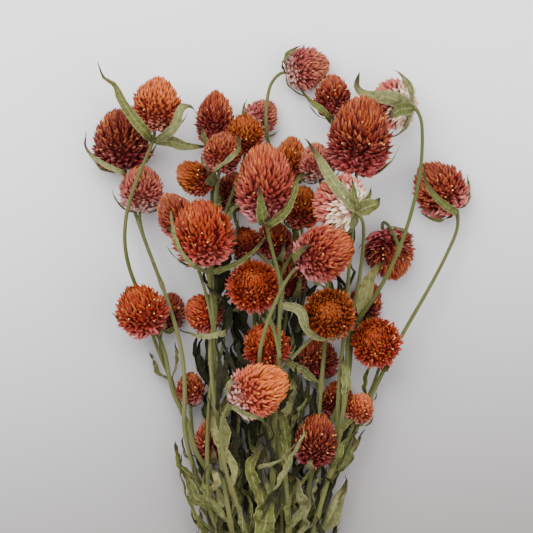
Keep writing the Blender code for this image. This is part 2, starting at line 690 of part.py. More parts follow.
def place_stem_leaves(strands, placed, found):
    """Pairs of leaves at the nodes: each leaf takes the clearest of its seeded trials, or is left off."""
    draw = random.Random(SEED)
    for strand in strands:
        last = len(strand.points) - 1
        for rank, (y, length, half_width) in enumerate(leaf_nodes(strand)):
            y += draw.uniform(-0.008, 0.008)
            node = next((i for i, p in enumerate(strand.points) if p.y > y), last)
            if not 1 < node < last - 5:
                continue
            for pair in (0, 1):
                turn = rank * math.pi / 2 + pair * math.pi
                best, best_room = None, 0.0
                for trial in range(LEAF_TRIALS):
                    shrink = 1 - 0.35 * trial / LEAF_TRIALS
                    leaf = try_leaf(draw, strand, node, turn, length * shrink, half_width * shrink)
                    room = placed.room(leaf, strand.group, fanned=True)
                    if room > best_room:
                        best, best_room = leaf, room
                    if room > 0.0010:
                        break
                if best is not None:
                    strand.kept.add(node)
                    found.setdefault(strand.group, []).append(best)
                    placed.add(best, strand.group)


def place_head_bracts(strands, placed, found):
    """The pair of small leafy bracts that cup each head from below."""
    draw = random.Random(SEED + 1)
    for strand in strands:
        bloom = strand.bloom
        axis = bloom.axis()
        root = strand.points[-1] - axis * 0.0012
        side = axis.orthogonal().normalized()
        start = draw.uniform(0, math.pi)
        for pair in (0, 1):
            best, best_room = None, 0.0
            for trial in range(20):
                turn = start + pair * math.pi + draw.uniform(-0.5, 0.5) * trial / 4
                reach = (0.85 - 0.02 * trial) * draw.uniform(0.85, 1.1)
                out = Matrix.Rotation(turn, 3, axis) @ side
                path = [root]
                for k in range(1, 7):
                    angle = math.radians(12) + k / 6 * reach * math.radians(95)
                    stand = 1.03 + 0.16 * (k / 6) ** 2
                    across = math.sin(angle) * (bloom.width / 2 * stand + 0.0020)
                    down = -math.cos(angle) * (bloom.length / 2 * stand + 0.0016)
                    path.append(bloom.centre() + out * across + axis * down)
                leaf = Leaf(path, max(bloom.width * 0.11, 0.0018), 0.0, 0.0, "bract")
                leaf.roll = flat_roll(leaf, out)
                room = placed.room(leaf, strand.group)
                if room > best_room:
                    best, best_room = leaf, room
                if room > 0.0004:
                    break
            if best is not None:
                found.setdefault(strand.group, []).append(best)
                placed.add(best, strand.group)


def flat_roll(leaf, out):
    """The roll that turns a blade's face away from the middle of the head that it cups."""
    rolls = [k * math.pi / 12 for k in range(12)]

    def facing(roll):
        leaf.roll = roll
        return abs(leaf.stations(5)[2][2].dot(out))

    return max(rolls, key=facing)


def new_object(name, mesh_maker, material):
    """An object of the mesh that mesh_maker builds in a bmesh."""
    bm = bmesh.new()
    mesh_maker(bm)
    bmesh.ops.recalc_face_normals(bm, faces=bm.faces)
    mesh = bpy.data.meshes.new(name)
    bm.to_mesh(mesh)
    bm.free()
    mesh.materials.append(material)
    obj = bpy.data.objects.new(name, mesh)
    bpy.context.scene.collection.objects.link(obj)
    return obj


def new_material(name, colour, roughness):
    material = bpy.data.materials.new(name)
    material.use_nodes = True
    shader = material.node_tree.nodes["Principled BSDF"]
    shader.inputs["Base Color"].default_value = (*colour, 1.0)
    shader.inputs["Roughness"].default_value = roughness
    shader.inputs["Metallic"].default_value = 0.0
    return material


def frame_along(axis):
    """Matrix whose z is the axis."""
    return axis.to_track_quat("Z", "Y").to_matrix()


def build_head(bm, bloom):
    """A head: a lattice of diamonds round the core, with a pointed bract raised from each diamond."""
    around = rows = 7 if bloom.width > 0.0215 else 6 if bloom.width > 0.0165 else 5
    turn = frame_along(bloom.axis())
    centre = bloom.centre()
    draw = random.Random(bloom.name)

    def place(polar, azimuth, scale):
        radius = bloom.width / 2 * math.sin(polar) ** 0.85 * (1 + BASE_SWELL * math.cos(polar)) * scale
        height = -math.cos(polar) * bloom.length / 2 * (scale if scale > CORE else 1.0)
        return centre + turn @ Vector((radius * math.cos(azimuth), radius * math.sin(azimuth), height))

    def polar_at(row):
        return BASE_ANGLE + (CROWN_ANGLE - BASE_ANGLE) * row / rows

    step = math.tau / around
    rings = [
        [bm.verts.new(place(polar_at(j), (i + j % 2 / 2) * step, CORE)) for i in range(around)]
        for j in range(rows + 1)
    ]
    bm.faces.new(rings[0])
    crown = bm.verts.new(place(math.pi, 0, 0.97))
    for i in range(around):
        after = (i + 1) % around
        under = rings[rows - 1][i if rows % 2 == 0 else after]
        bm.faces.new((rings[0][i], rings[0][after], rings[1][i]))
        bm.faces.new((rings[rows][i], rings[rows][after], under))
        bm.faces.new((rings[rows][i], rings[rows][after], crown))
    for j in range(rows - 1):
        for i in range(around):
            left = (i - 1) % around if j % 2 == 0 else i
            right = i if j % 2 == 0 else (i + 1) % around
            azimuth = (i + j % 2 / 2 + draw.uniform(-0.12, 0.12)) * step
            tip = bm.verts.new(place(polar_at(j + 1.75), azimuth, draw.uniform(0.94, 1.0)))
            corners = [rings[j][i], rings[j + 1][right], rings[j + 2][i], rings[j + 1][left]]
            for a, b in zip(corners, corners[1:] + corners[:1]):
                bm.faces.new((a, b, tip))


def build_tube(bm, points, radii):
    """A stem: rings of a few sides along its centreline, closed at both ends."""
    previous = None
    out = Vector((0, 0, 1))
    for i, (point, radius) in enumerate(zip(points, radii)):
        along = (points[min(i + 1, len(points) - 1)] - points[max(i - 1, 0)]).normalized()
        out = (out - along * out.dot(along)).normalized()
        side = along.cross(out)
        ring = []
        for k in range(STEM_SIDES):
            angle = (k + 0.5) * math.tau / STEM_SIDES
            corner = out * math.cos(angle) + side * math.sin(angle)
            ring.append(bm.verts.new(point + corner * radius * CORNER))
        if previous:
            for k in range(STEM_SIDES):
                after = (k + 1) % STEM_SIDES
                bm.faces.new((previous[k], previous[after], ring[after], ring[k]))
        else:
            bm.faces.new(ring)
        previous = ring
    bm.faces.new(previous)


def build_leaf(bm, leaf):
    """A leaf: a thin keeled blade that tapers to both ends, each face split on the same side as the others."""
    rows = leaf.stations(4 if leaf.shape == "bract" else 6)
    root = bm.verts.new(rows[0][0])
    tip = bm.verts.new(rows[-1][0])
    previous = None
    for point, side, normal, half in rows[1:-1]:
        keel = bm.verts.new(point - normal * LEAF_THICKNESS)
        section = [bm.verts.new(point + side * half), bm.verts.new(point - side * half), keel]
        for k in range(3):
            after = (k + 1) % 3
            if previous is None:
                bm.faces.new((root, section[k], section[after]))
            elif leaf.twist > 0:
                bm.faces.new((previous[k], previous[after], section[after]))
                bm.faces.new((previous[k], section[after], section[k]))
            else:
                bm.faces.new((previous[k], previous[after], section[k]))
                bm.faces.new((previous[after], section[after], section[k]))
        previous = section
    for k in range(3):
        bm.faces.new((tip, previous[(k + 1) % 3], previous[k]))


def thinned(strand):
    """Fewer points of a strand: those that shape it, and those that leaves and branches grow from."""
    points, last = strand.points, len(strand.points) - 1
    kept = sorted(strand.kept | {0, last})
    chosen = {0, last}

    def split(a, b):
        chosen.update((a, b))
        line = (points[b] - points[a]).normalized()
        off = [(points[i] - points[a]).cross(line).length for i in range(a + 1, b)]
        if off and max(off) > (FAN_THINNING if points[a].y < TIE_Y + FAN_LENGTH else THINNING):
            middle = a + 1 + off.index(max(off))
            split(a, middle)
            split(middle, b)

    for a, b in zip(kept, kept[1:]):
        split(a, b)
    order = sorted(chosen)
    return [points[i] for i in order], [strand.radius(i) for i in order]


def joined(name, pieces):
    """One object, the Boolean union of overlapping closed pieces."""
    group = bpy.data.collections.new(name + "_pieces")
    bpy.context.scene.collection.children.link(group)
    first, others = pieces[0], pieces[1:]
    for piece in others:
        bpy.context.scene.collection.objects.unlink(piece)
        group.objects.link(piece)
    union = first.modifiers.new("union", "BOOLEAN")
    union.operation = "UNION"
    union.operand_type = "COLLECTION"
    union.collection = group
    union.solver = "MANIFOLD"
    bpy.context.view_layer.update()
    fused = bpy.data.meshes.new_from_object(first.evaluated_get(bpy.context.evaluated_depsgraph_get()))
    first.modifiers.remove(union)
    first.data = fused
    first.name = name
    fused.name = name
    for piece in others:
        bpy.data.objects.remove(piece)
    bpy.data.collections.remove(group)
    return first


def cut_flat(obj, height):
    """Cuts off what lies under the given height, as a dried head is pressed flat where it lies."""
    bm = bmesh.new()
    bm.from_mesh(obj.data)
    whole = bm.verts[:] + bm.edges[:] + bm.faces[:]
    cut = bmesh.ops.bisect_plane(
        bm, geom=whole, dist=1e-7, plane_co=(0, 0, height), plane_no=(0, 0, 1), clear_inner=True
    )
    edges = [e for e in cut["geom_cut"] if isinstance(e, bmesh.types.BMEdge)]
    bmesh.ops.holes_fill(bm, edges=edges, sides=0)
    bmesh.ops.recalc_face_normals(bm, faces=bm.faces)
    bm.to_mesh(obj.data)
    bm.free()


def build_band(bm):
    """The turns of twine side by side round the packed stems, as one band with a ridge for each turn."""
    half_height = ROW_PITCH + HALF_SIDE + TIE_GAP
    straight = SLOT_PITCH * (SLOT_COLUMNS - 0.5) / 2 + HALF_SIDE - half_height * 0.3
    band = TIE_TURNS * 2 * TWINE_RADIUS
    section = [(0.0, -band / 2), (0.0, band / 2)]
    for turn in range(TIE_TURNS):
        y = band / 2 - (2 * turn + 1) * TWINE_RADIUS
        section.append((2 * TWINE_RADIUS, y))
        if turn < TIE_TURNS - 1:
            section.append((1.3 * TWINE_RADIUS, y - TWINE_RADIUS))
    rings = []
    for i in range(TIE_SEGMENTS):
        angle = (i + 0.5) * math.tau / TIE_SEGMENTS
        shift = math.copysign(straight, math.cos(angle))
        out = Vector((math.cos(angle), 0, math.sin(angle)))
        middle = Vector((shift, TIE_Y, tie_middle()))
        reach = half_height / math.cos(math.pi / TIE_SEGMENTS)
        rings.append([bm.verts.new(middle + Vector((0, y, 0)) + out * (reach + depth)) for depth, y in section])
    for i, ring in enumerate(rings):
        after = rings[(i + 1) % TIE_SEGMENTS]
        for k in range(len(section)):
            next_k = (k + 1) % len(section)
            bm.faces.new((ring[k], ring[next_k], after[next_k], after[k]))


def tie_pieces(material):
    """The band, its knot on top and the two cut tails of the twine."""
    top = tie_middle() + ROW_PITCH + HALF_SIDE + TIE_GAP
    knot = Vector((0.003, TIE_Y, top + 2 * TWINE_RADIUS))

    def build_knot(bm):
        bmesh.ops.create_icosphere(bm, subdivisions=1, radius=TWINE_RADIUS * 2.2, matrix=Matrix.Translation(knot))

    pieces = [new_object("tie_band", build_band, material), new_object("tie_knot", build_knot, material)]
    for side in (-1, 1):
        tail = [
            knot,
            knot + Vector((side * 0.35, -0.45, 0.05)) * TAIL_LENGTH,
            knot + Vector((side * 0.45, -0.95, 0.02)) * TAIL_LENGTH,
        ]
        radii = [TWINE_RADIUS] * 3
        pieces.append(new_object("tie_tail", lambda bm, t=tail, r=radii: build_tube(bm, t, r), material))
    return pieces


def main():
    for obj in list(bpy.data.objects):
        bpy.data.objects.remove(obj)
    settle_heads()
    strands = route_strands()
    bend_clear(strands)
    placed = Placed(strands)
    leaves = place_shown_leaves(strands, placed)
    place_head_bracts(strands, placed, leaves)
    place_stem_leaves(strands, placed, leaves)

    tones = {tone: new_material(f"bracts_{tone}", colour, 0.85) for tone, colour in HEAD_COLOURS.items()}
    green = new_material("dried_green", STEM_GREEN, 0.8)
    tan = new_material("twine", TWINE_TAN, 0.9)
    for strand in strands:
        if strand.parent is not None:
            strand.parent.kept.add(strand.joint())
    nodes = []
    for bloom in all_blooms():
        head = new_object(bloom.name, lambda bm, bloom=bloom: build_head(bm, bloom), tones[bloom.tone])
        if bloom.layer == 0:
            cut_flat(head, 0.0)
        nodes.append(head)
    for group, stem in enumerate(STEMS):
        pieces = [
            new_object(f"{stem.name}_strand", lambda bm, s=s: build_tube(bm, *thinned(s)), green)
            for s in strands
            if s.group == group
        ]
        pieces += [
            new_object(f"{stem.name}_leaf", lambda bm, leaf=leaf: build_leaf(bm, leaf), green)
            for leaf in leaves.get(group, [])
        ]
        nodes.append(joined(stem.name, pieces))
    nodes.append(joined("tie", tie_pieces(tan)))

    corners = np.array([tuple(v.co) for obj in nodes for v in obj.data.vertices])
    low, high = corners.min(0), corners.max(0)
    shift = Vector((-(low[0] + high[0]) / 2, -(low[1] + high[1]) / 2, -low[2]))
    for obj in nodes:
        obj.data.transform(Matrix.Translation(shift))


main()
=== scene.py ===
"""The finished looks of a bunch of dried globe amaranth that lies on its side.

The bunch is planned first: the heads settle on each other, the stems bend clear of them, and the leaves
look for room. Each head, each leafy stem and the tie is then built finely, in the place of its plain
solid. Sizes are metres. The plan is measured from the middle of the bunch's neck, and each mesh is
moved to the frame as it is finished.
"""

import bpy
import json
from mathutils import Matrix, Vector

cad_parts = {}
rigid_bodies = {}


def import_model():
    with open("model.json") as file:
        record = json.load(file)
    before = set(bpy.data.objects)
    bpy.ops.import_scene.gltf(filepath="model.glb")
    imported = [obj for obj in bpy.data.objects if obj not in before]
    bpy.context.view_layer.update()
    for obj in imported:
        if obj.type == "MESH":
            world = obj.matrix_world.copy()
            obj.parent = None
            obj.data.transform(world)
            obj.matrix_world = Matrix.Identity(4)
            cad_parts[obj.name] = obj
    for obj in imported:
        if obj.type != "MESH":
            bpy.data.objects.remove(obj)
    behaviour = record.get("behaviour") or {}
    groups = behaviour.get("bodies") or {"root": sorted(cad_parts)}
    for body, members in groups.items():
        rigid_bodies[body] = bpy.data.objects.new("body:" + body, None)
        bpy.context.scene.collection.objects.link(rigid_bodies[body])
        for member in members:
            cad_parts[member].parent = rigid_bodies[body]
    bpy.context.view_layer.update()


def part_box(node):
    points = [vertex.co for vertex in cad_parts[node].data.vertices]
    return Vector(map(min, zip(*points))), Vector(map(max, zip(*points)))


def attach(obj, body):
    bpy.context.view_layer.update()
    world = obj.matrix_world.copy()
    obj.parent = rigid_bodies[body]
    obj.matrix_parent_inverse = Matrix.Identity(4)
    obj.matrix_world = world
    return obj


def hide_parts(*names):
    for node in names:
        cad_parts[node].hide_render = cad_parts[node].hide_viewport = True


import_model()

import json
import logging
import math
import random
from dataclasses import dataclass, field
from enum import Enum
from functools import cache

import bmesh
import bpy
import numpy as np
from mathutils import Matrix, Vector, noise
from mathutils.kdtree import KDTree

log = logging.getLogger("amaranth")

Colour = tuple[float, float, float, float]
LAYERS = ("along", "across", "chance", "height")
GOLDEN_TURN = math.pi * (3 - math.sqrt(5))
EASING_TURNS = 4
SEED = 7


def tint(red: int, green: int, blue: int) -> Colour:
    """A colour given in the usual 0 to 255 steps, as the linear light that a shader takes."""
    shares = (red / 255, green / 255, blue / 255)
    return (*(s / 12.92 if s <= 0.04045 else ((s + 0.055) / 1.055) ** 2.4 for s in shares), 1.0)


def metres(*tenths: int) -> tuple[float, ...]:
    """Lengths that are given in tenths of a millimetre."""
    return tuple(length / 10000 for length in tenths)


def eased(value: float, low: float, high: float) -> float:
    """0 under low, 1 over high and smooth between them."""
    share = min(max((value - low) / (high - low), 0.0), 1.0)
    return share * share * (3 - 2 * share)


def staged(values: tuple[float, float, float], first: float, second: float) -> float:
    """A value on its way from the first of three to the second, and from there to the third."""
    low, middle, high = values
    return low + (middle - low) * first + (high - middle) * second


def upright(root: Vector, run: Vector, width: float, facing: Vector) -> Matrix:
    """Stands a shape one unit long and wide on its root.

    Args:
        root: Where its origin goes.
        run: Where its Z reaches from there.
        width: Its width.
        facing: Where its Y faces, as near as its run allows.

    Returns:
        The matrix for the shape.
    """
    along = run.normalized()
    keel = (facing - along * facing.dot(along)).normalized()
    columns = Matrix((keel.cross(along) * width, keel * width, run)).transposed()
    return Matrix.Translation(root) @ columns.to_4x4()


def linked(name: str, data: bpy.types.ID) -> bpy.types.Object:
    """A new object in the scene."""
    obj = bpy.data.objects.new(name, data)
    bpy.context.scene.collection.objects.link(obj)
    return obj


@dataclass(frozen=True)
class BractTone:
    """The papery colours of a head, from its crown down to its base.

    Attributes:
        crown: Colour of the youngest bracts, at the top.
        middle: Colour round the middle of the head.
        base: Colour of the oldest bracts, by the stem.
        crown_from: Height, as a share of the head, where the crown colour takes over.
        flecks: Share of the bracts that a cream floret peeps out of.
        skirt: How far the bracts splay low on the head, as a share of its size.
    """

    crown: Colour
    middle: Colour
    base: Colour
    crown_from: float
    flecks: float
    skirt: float = 0.03


class Tone(Enum):
    """The colour families of the heads."""

    SALMON = BractTone(tint(202, 102, 50), tint(166, 68, 34), tint(222, 152, 126), 0.55, 0.02)
    PEACH = BractTone(tint(218, 114, 46), tint(212, 98, 66), tint(246, 204, 190), 0.50, 0.01)
    FLAME = BractTone(tint(166, 54, 8), tint(164, 42, 20), tint(222, 118, 110), 0.58, 0.05, 0.08)
    AMBER = BractTone(tint(164, 74, 12), tint(152, 48, 12), tint(200, 88, 64), 0.42, 0.04)
    EMBER = BractTone(tint(144, 46, 4), tint(116, 18, 8), tint(196, 84, 86), 0.62, 0.06, 0.13)
    BRICK = BractTone(tint(142, 58, 30), tint(142, 44, 28), tint(224, 136, 124), 0.60, 0.03, 0.05)
    ROSE = BractTone(tint(172, 70, 34), tint(156, 54, 42), tint(214, 130, 130), 0.66, 0.02, 0.04)
    DUSK = BractTone(tint(166, 88, 66), tint(168, 80, 76), tint(216, 180, 164), 0.62, 0.01)
    BLUSH = BractTone(tint(172, 78, 64), tint(198, 98, 86), tint(252, 242, 206), 0.62, 0.01)
    MAROON = BractTone(tint(124, 30, 2), tint(108, 16, 6), tint(150, 48, 54), 0.66, 0.05, 0.12)


class Outline(Enum):
    """The outlines of a leaf: the powers of the way from its root and from its tip that its width follows."""

    LEAF = (0.75, 0.9)
    BRACT = (0.55, 1.1)
    SHOWN = (0.50, 0.88)


@dataclass(frozen=True)
class BunchSizes:
    """The driving sizes that the whole bunch shares, the same as in its frame."""

    cut_y: float = -0.130
    tie_y: float = -0.078
    neck_y: float = 0.0
    neck_half_width: float = 0.031
    neck_heights: tuple[float, ...] = (0.0075, 0.0185, 0.0295)
    cut_spread: float = 1.45
    slot_rows: int = 3
    slot_columns: int = 6
    slot_pitch: float = 0.00275
    row_pitch: float = 0.00275
    stem_radius: float = 0.0015
    branch_radius: float = 0.0010
    tip_radius: float = 0.0009
    corner: float = 1.15
    seat_gap: float = 0.0003
    twine_radius: float = 0.0011
    tie_turns: int = 3
    tie_gap: float = 0.0003
    tail_length: float = 0.022
    base_angle: float = math.radians(26)
    base_swell: float = 0.16
    press: float = 0.13
    stack_gap: float = 0.0018
    layer_step: float = 0.0080
    step: float = 0.004
    clearance: float = 0.0011
    head_clearance: float = 0.0012
    rounds: int = 108
    respace_every: int = 6
    fan_length: float = 0.035
    leaf_gap: float = 0.0021
    leaf_head_gap: float = 0.0009
    leaf_floor_gap: float = 0.0006
    fan_top: float = 0.085
    fan_half_width: float = 0.038
    fan_widening: float = 0.26
    fan_narrowing: float = 0.16
    fan_height: float = 0.040
    fan_climb: float = 0.3

    @property
    def half_side(self) -> float:
        """Half the side of a stem's square solid, which its round shape fills."""
        return self.stem_radius * self.corner * math.cos(math.pi / 4)

    @property
    def tie_middle(self) -> float:
        """Height of the middle of the tied stems."""
        return self.row_pitch + self.half_side + self.tie_gap + 2 * self.twine_radius


SIZES = BunchSizes()


def plan_shift() -> Vector:
    """How far the plan has to move to lie on the frame: the tie is even about the plan's middle."""
    low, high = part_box("tie")
    band_top = SIZES.tie_y + SIZES.tie_turns * SIZES.twine_radius
    return Vector(((low.x + high.x) / 2, high.y - band_top, 0.0))


SHIFT = plan_shift()


@dataclass
class Bloom:
    """A flower head: its colours, its middle in plan, its size over the bract tips and how it points.

    Attributes:
        lean: Degrees clockwise from +Y, seen from above.
        rise: Degrees above level.
        layer: 0 for the lowest heads.
        fork: On a side head, the y at which its branch leaves the stem.
    """

    name: str
    tone: Tone
    x: float
    y: float
    width: float
    length: float
    lean: float
    rise: float
    layer: int
    fork: float = 0.0
    z: float = 0.0

    def axis(self) -> Vector:
        """Unit vector from the seat on the stem to the crown."""
        lean, rise = math.radians(self.lean), math.radians(self.rise)
        return Vector((math.sin(lean) * math.cos(rise), math.cos(lean) * math.cos(rise), math.sin(rise)))

    def centre(self) -> Vector:
        """The middle of the head."""
        return Vector((self.x, self.y, self.z))

    def seat(self) -> Vector:
        """Where the stem ends, under the base of the head."""
        down = math.cos(SIZES.base_angle) * self.length / 2 + SIZES.seat_gap
        return self.centre() - self.axis() * down

    def balls(self) -> list[tuple[Vector, float]]:
        """Three balls that together hold the head: their centres and their radius."""
        half = max(self.length - self.width, 0.0) / 2
        radius = max(self.width, self.length - 2 * half) / 2
        return [(self.centre() + self.axis() * half * k, radius) for k in (-1, 0, 1)]


@dataclass
class Stem:
    """A stem cut from the plant: its end head, its side heads and the bends of its way up."""

    name: str
    end: Bloom
    sides: list[Bloom]
    bends: list[tuple[float, ...]]


# For each stem its heads, the end head first and then the side heads, and the bends of its way up as
# (x, y, z). A head is its tone, x, y, width, length, lean, rise, layer and, at the side, the y of its fork.
# Lengths are tenths of a millimetre.
STEM_PLANS = [
    ([(Tone.SALMON, -550, 2145, 240, 270, 5, 22, 3)],
     [(-600, 1900, 360), (-710, 1660, 400), (-765, 1500, 360), (-745, 1350, 260), (-630, 1180, 140),
      (-530, 930, 140)]),
    ([(Tone.MAROON, -735, 1975, 280, 300, -6, 12, 0),
      (Tone.DUSK, -630, 1725, 220, 230, 4, 8, 0, 1250)],
     [(-690, 1650, 100), (-600, 1400, 120), (-480, 1150, 200), (-430, 980, 220)]),
    ([(Tone.FLAME, -635, 1120, 250, 270, -25, 35, 1),
      (Tone.MAROON, -495, 1105, 170, 190, 20, 0, 0, 600),
      (Tone.BRICK, -385, 725, 140, 160, 0, 20, 1, 200)], []),
    ([(Tone.FLAME, -320, 1505, 300, 330, -8, 25, 3),
      (Tone.BRICK, -455, 1590, 190, 230, -25, 0, 0, 950),
      (Tone.FLAME, -320, 1105, 190, 190, -50, 20, 2, 700)], []),
    ([(Tone.EMBER, -260, 2080, 185, 270, 3, 4, 1),
      (Tone.AMBER, -365, 1780, 170, 200, -60, 20, 2, 1200),
      (Tone.EMBER, -280, 460, 170, 220, -5, 5, 1, -50)], []),
    ([(Tone.BRICK, -220, 1905, 190, 200, 10, 20, 3),
      (Tone.AMBER, -110, 2000, 190, 200, 0, 35, 1, 1300)], []),
    ([(Tone.ROSE, -10, 1745, 290, 385, -3, 8, 4),
      (Tone.MAROON, -165, 1715, 190, 190, 0, 10, 0, 1100),
      (Tone.EMBER, -115, 1460, 160, 150, 0, 50, 2, 850)], []),
    ([(Tone.DUSK, 205, 2335, 220, 220, 78, 6, 0)],
     [(-20, 2270, 110), (-60, 2180, 160), (-60, 2030, 180), (50, 1850, 100)]),
    ([(Tone.AMBER, 120, 1870, 170, 230, 5, 5, 1),
      (Tone.DUSK, -25, 2095, 170, 170, 40, -12, 0, 1500)], []),
    ([(Tone.EMBER, 330, 2190, 180, 210, 0, 5, 1),
      (Tone.DUSK, 250, 1855, 180, 190, -10, 0, 1, 1200)], []),
    ([(Tone.EMBER, 465, 1985, 310, 390, 6, 12, 3),
      (Tone.AMBER, 175, 1635, 190, 210, 0, 20, 2, 1000)], []),
    ([(Tone.BLUSH, 625, 2150, 260, 220, -78, -35, 1),
      (Tone.EMBER, 620, 1390, 250, 250, 165, 8, 0, 1500),
      (Tone.EMBER, 355, 665, 170, 180, -5, 10, 0, 150)],
     [(805, 2070, 300), (815, 1920, 340), (770, 1750, 360), (720, 1570, 360), (630, 1310, 350),
      (560, 1110, 300)]),
    ([(Tone.BRICK, 865, 1730, 270, 280, -35, 12, 0),
      (Tone.FLAME, 545, 960, 250, 240, -25, 60, 2, 400),
      (Tone.SALMON, 465, 625, 150, 150, 20, 20, 1, 200)],
     [(970, 1520, 80), (925, 1390, 120), (810, 1200, 180), (675, 1010, 180), (570, 780, 140)]),
    ([(Tone.BLUSH, 350, 1655, 290, 230, -60, -40, 3),
      (Tone.MAROON, 495, 1150, 170, 220, 20, 0, 0, 750)],
     [(480, 1480, 360), (475, 1330, 300)]),
    ([(Tone.ROSE, 290, 1405, 270, 290, 62, 25, 3),
      (Tone.AMBER, 310, 1100, 260, 260, 0, 75, 4, 700),
      (Tone.EMBER, 255, 875, 200, 200, 0, 8, 0, 400)], []),
    ([(Tone.FLAME, -65, 1240, 260, 260, 0, 66, 4),
      (Tone.EMBER, 35, 1470, 190, 190, 0, 10, 1, 900)], []),
    ([(Tone.FLAME, -5, 945, 230, 220, -10, 40, 3),
      (Tone.MAROON, 105, 1285, 180, 220, 0, 0, 0, 700)], []),
    ([(Tone.PEACH, -35, 725, 260, 300, 62, 15, 5),
      (Tone.MAROON, 245, 470, 210, 270, 10, 25, 3, -100)], []),
]


def planned_stems() -> list[Stem]:
    """The stems of STEM_PLANS with their heads, both numbered in order."""
    stems, count = [], 0
    for rank, (heads, bends) in enumerate(STEM_PLANS, 1):
        blooms = []
        for tone, *plan in heads:
            count += 1
            name, fork = f"bloom_{count:02d}", metres(*plan[7:])
            blooms.append(Bloom(name, tone, *metres(*plan[:4]), *plan[4:7], *fork))
        stems.append(Stem(f"stem_{rank:02d}", blooms[0], blooms[1:], [metres(*bend) for bend in bends]))
    return stems


STEMS = planned_stems()
BLOOMS = [bloom for stem in STEMS for bloom in (stem.end, *stem.sides)]


def path_length(path: list[Vector]) -> float:
    """Length of a path of points."""
    return sum((b - a).length for a, b in zip(path, path[1:]))


def evenly(path: list[Vector], count: int) -> list[Vector]:
    """Places points evenly along a path.

    Args:
        path: The points of the path.
        count: How many points to return.

    Returns:
        The evenly spaced points, both ends among them.
    """
    lengths = [0.0]
    for a, b in zip(path, path[1:]):
        lengths.append(lengths[-1] + (b - a).length)
    result, k = [], 0
    for i in range(count):
        want = lengths[-1] * i / (count - 1)
        while k < len(path) - 2 and lengths[k + 1] < want:
            k += 1
        share = (want - lengths[k]) / max(lengths[k + 1] - lengths[k], 1e-9)
        result.append(path[k].lerp(path[k + 1], min(max(share, 0.0), 1.0)))
    return result


def heading(path: list[Vector], i: int) -> Vector:
    """Direction of a path at one of its points."""
    return (path[min(i + 1, len(path) - 1)] - path[max(i - 1, 0)]).normalized()


def smooth_route(points: list, spacing: float) -> list[Vector]:
    """Draws a smooth curve through points.

    Args:
        points: The points that the curve passes.
        spacing: The distance wanted between the points that are returned.

    Returns:
        Evenly spaced points along the curve.
    """
    points = [Vector(p) for p in points]
    spans = [(b - a).length for a, b in zip(points, points[1:])]
    slopes = [(b - a) / span for a, b, span in zip(points, points[1:], spans)]
    tangents = [slopes[0]]
    for k in range(1, len(slopes)):
        tangents.append((slopes[k - 1] * spans[k] + slopes[k] * spans[k - 1]) / (spans[k - 1] + spans[k]))
    tangents.append(slopes[-1])
    fine = []
    for k, span in enumerate(spans):
        for i in range(24):
            t = i / 24
            fine.append(
                points[k] * ((1 + 2 * t) * (1 - t) ** 2)
                + tangents[k] * (span * t * (1 - t) ** 2)
                + points[k + 1] * (t * t * (3 - 2 * t))
                - tangents[k + 1] * (span * t * t * (1 - t))
            )
    fine.append(points[-1])
    return evenly(fine, max(4, round(path_length(fine) / spacing) + 1))


def eased_bends(points: list[Vector]) -> list[Vector]:
    """A path with its sharpest bends rounded off, but for its first and last points."""
    eased_path = [p.copy() for p in points]
    for _ in range(EASING_TURNS):
        old = [p.copy() for p in eased_path]
        for i in range(2, len(old) - 2):
            eased_path[i] = old[i] * 0.5 + (old[i - 1] + old[i + 1]) * 0.25
    return eased_path


@dataclass
class Strand:
    """The centreline of a stem or of one of its branches, from its root to the seat of its head."""

    points: list[Vector]
    bloom: Bloom
    group: int
    parent: "Strand | None" = None
    fork: float = 0.0
    nodes: set[int] = field(default_factory=set)

    def radius(self, i: float) -> float:
        """Radius at a point: it tapers towards the head."""
        share = i / (len(self.points) - 1)
        if self.parent is None:
            return SIZES.stem_radius + (SIZES.tip_radius - SIZES.stem_radius) * share**1.5
        return SIZES.branch_radius + (SIZES.tip_radius - SIZES.branch_radius) * share

    def joint(self) -> int:
        """The index of the parent's point that this branch grows from."""
        return round(self.fork * (len(self.parent.points) - 1))

    def held(self, i: int) -> bool:
        """True for a point that keeps its place, by the head or in the tie."""
        if i >= len(self.points) - 3:
            return True
        return self.parent is None and self.points[i].y < SIZES.tie_y + 0.013

    def respace(self) -> None:
        """Makes the points even again, with the last three in line with the head."""
        count = max(4, round(path_length(self.points) / SIZES.step) + 1)
        self.points = evenly(self.points, count)
        for k in (1, 2):
            self.points[-1 - k] = self.points[-1] - self.bloom.axis() * SIZES.step * k


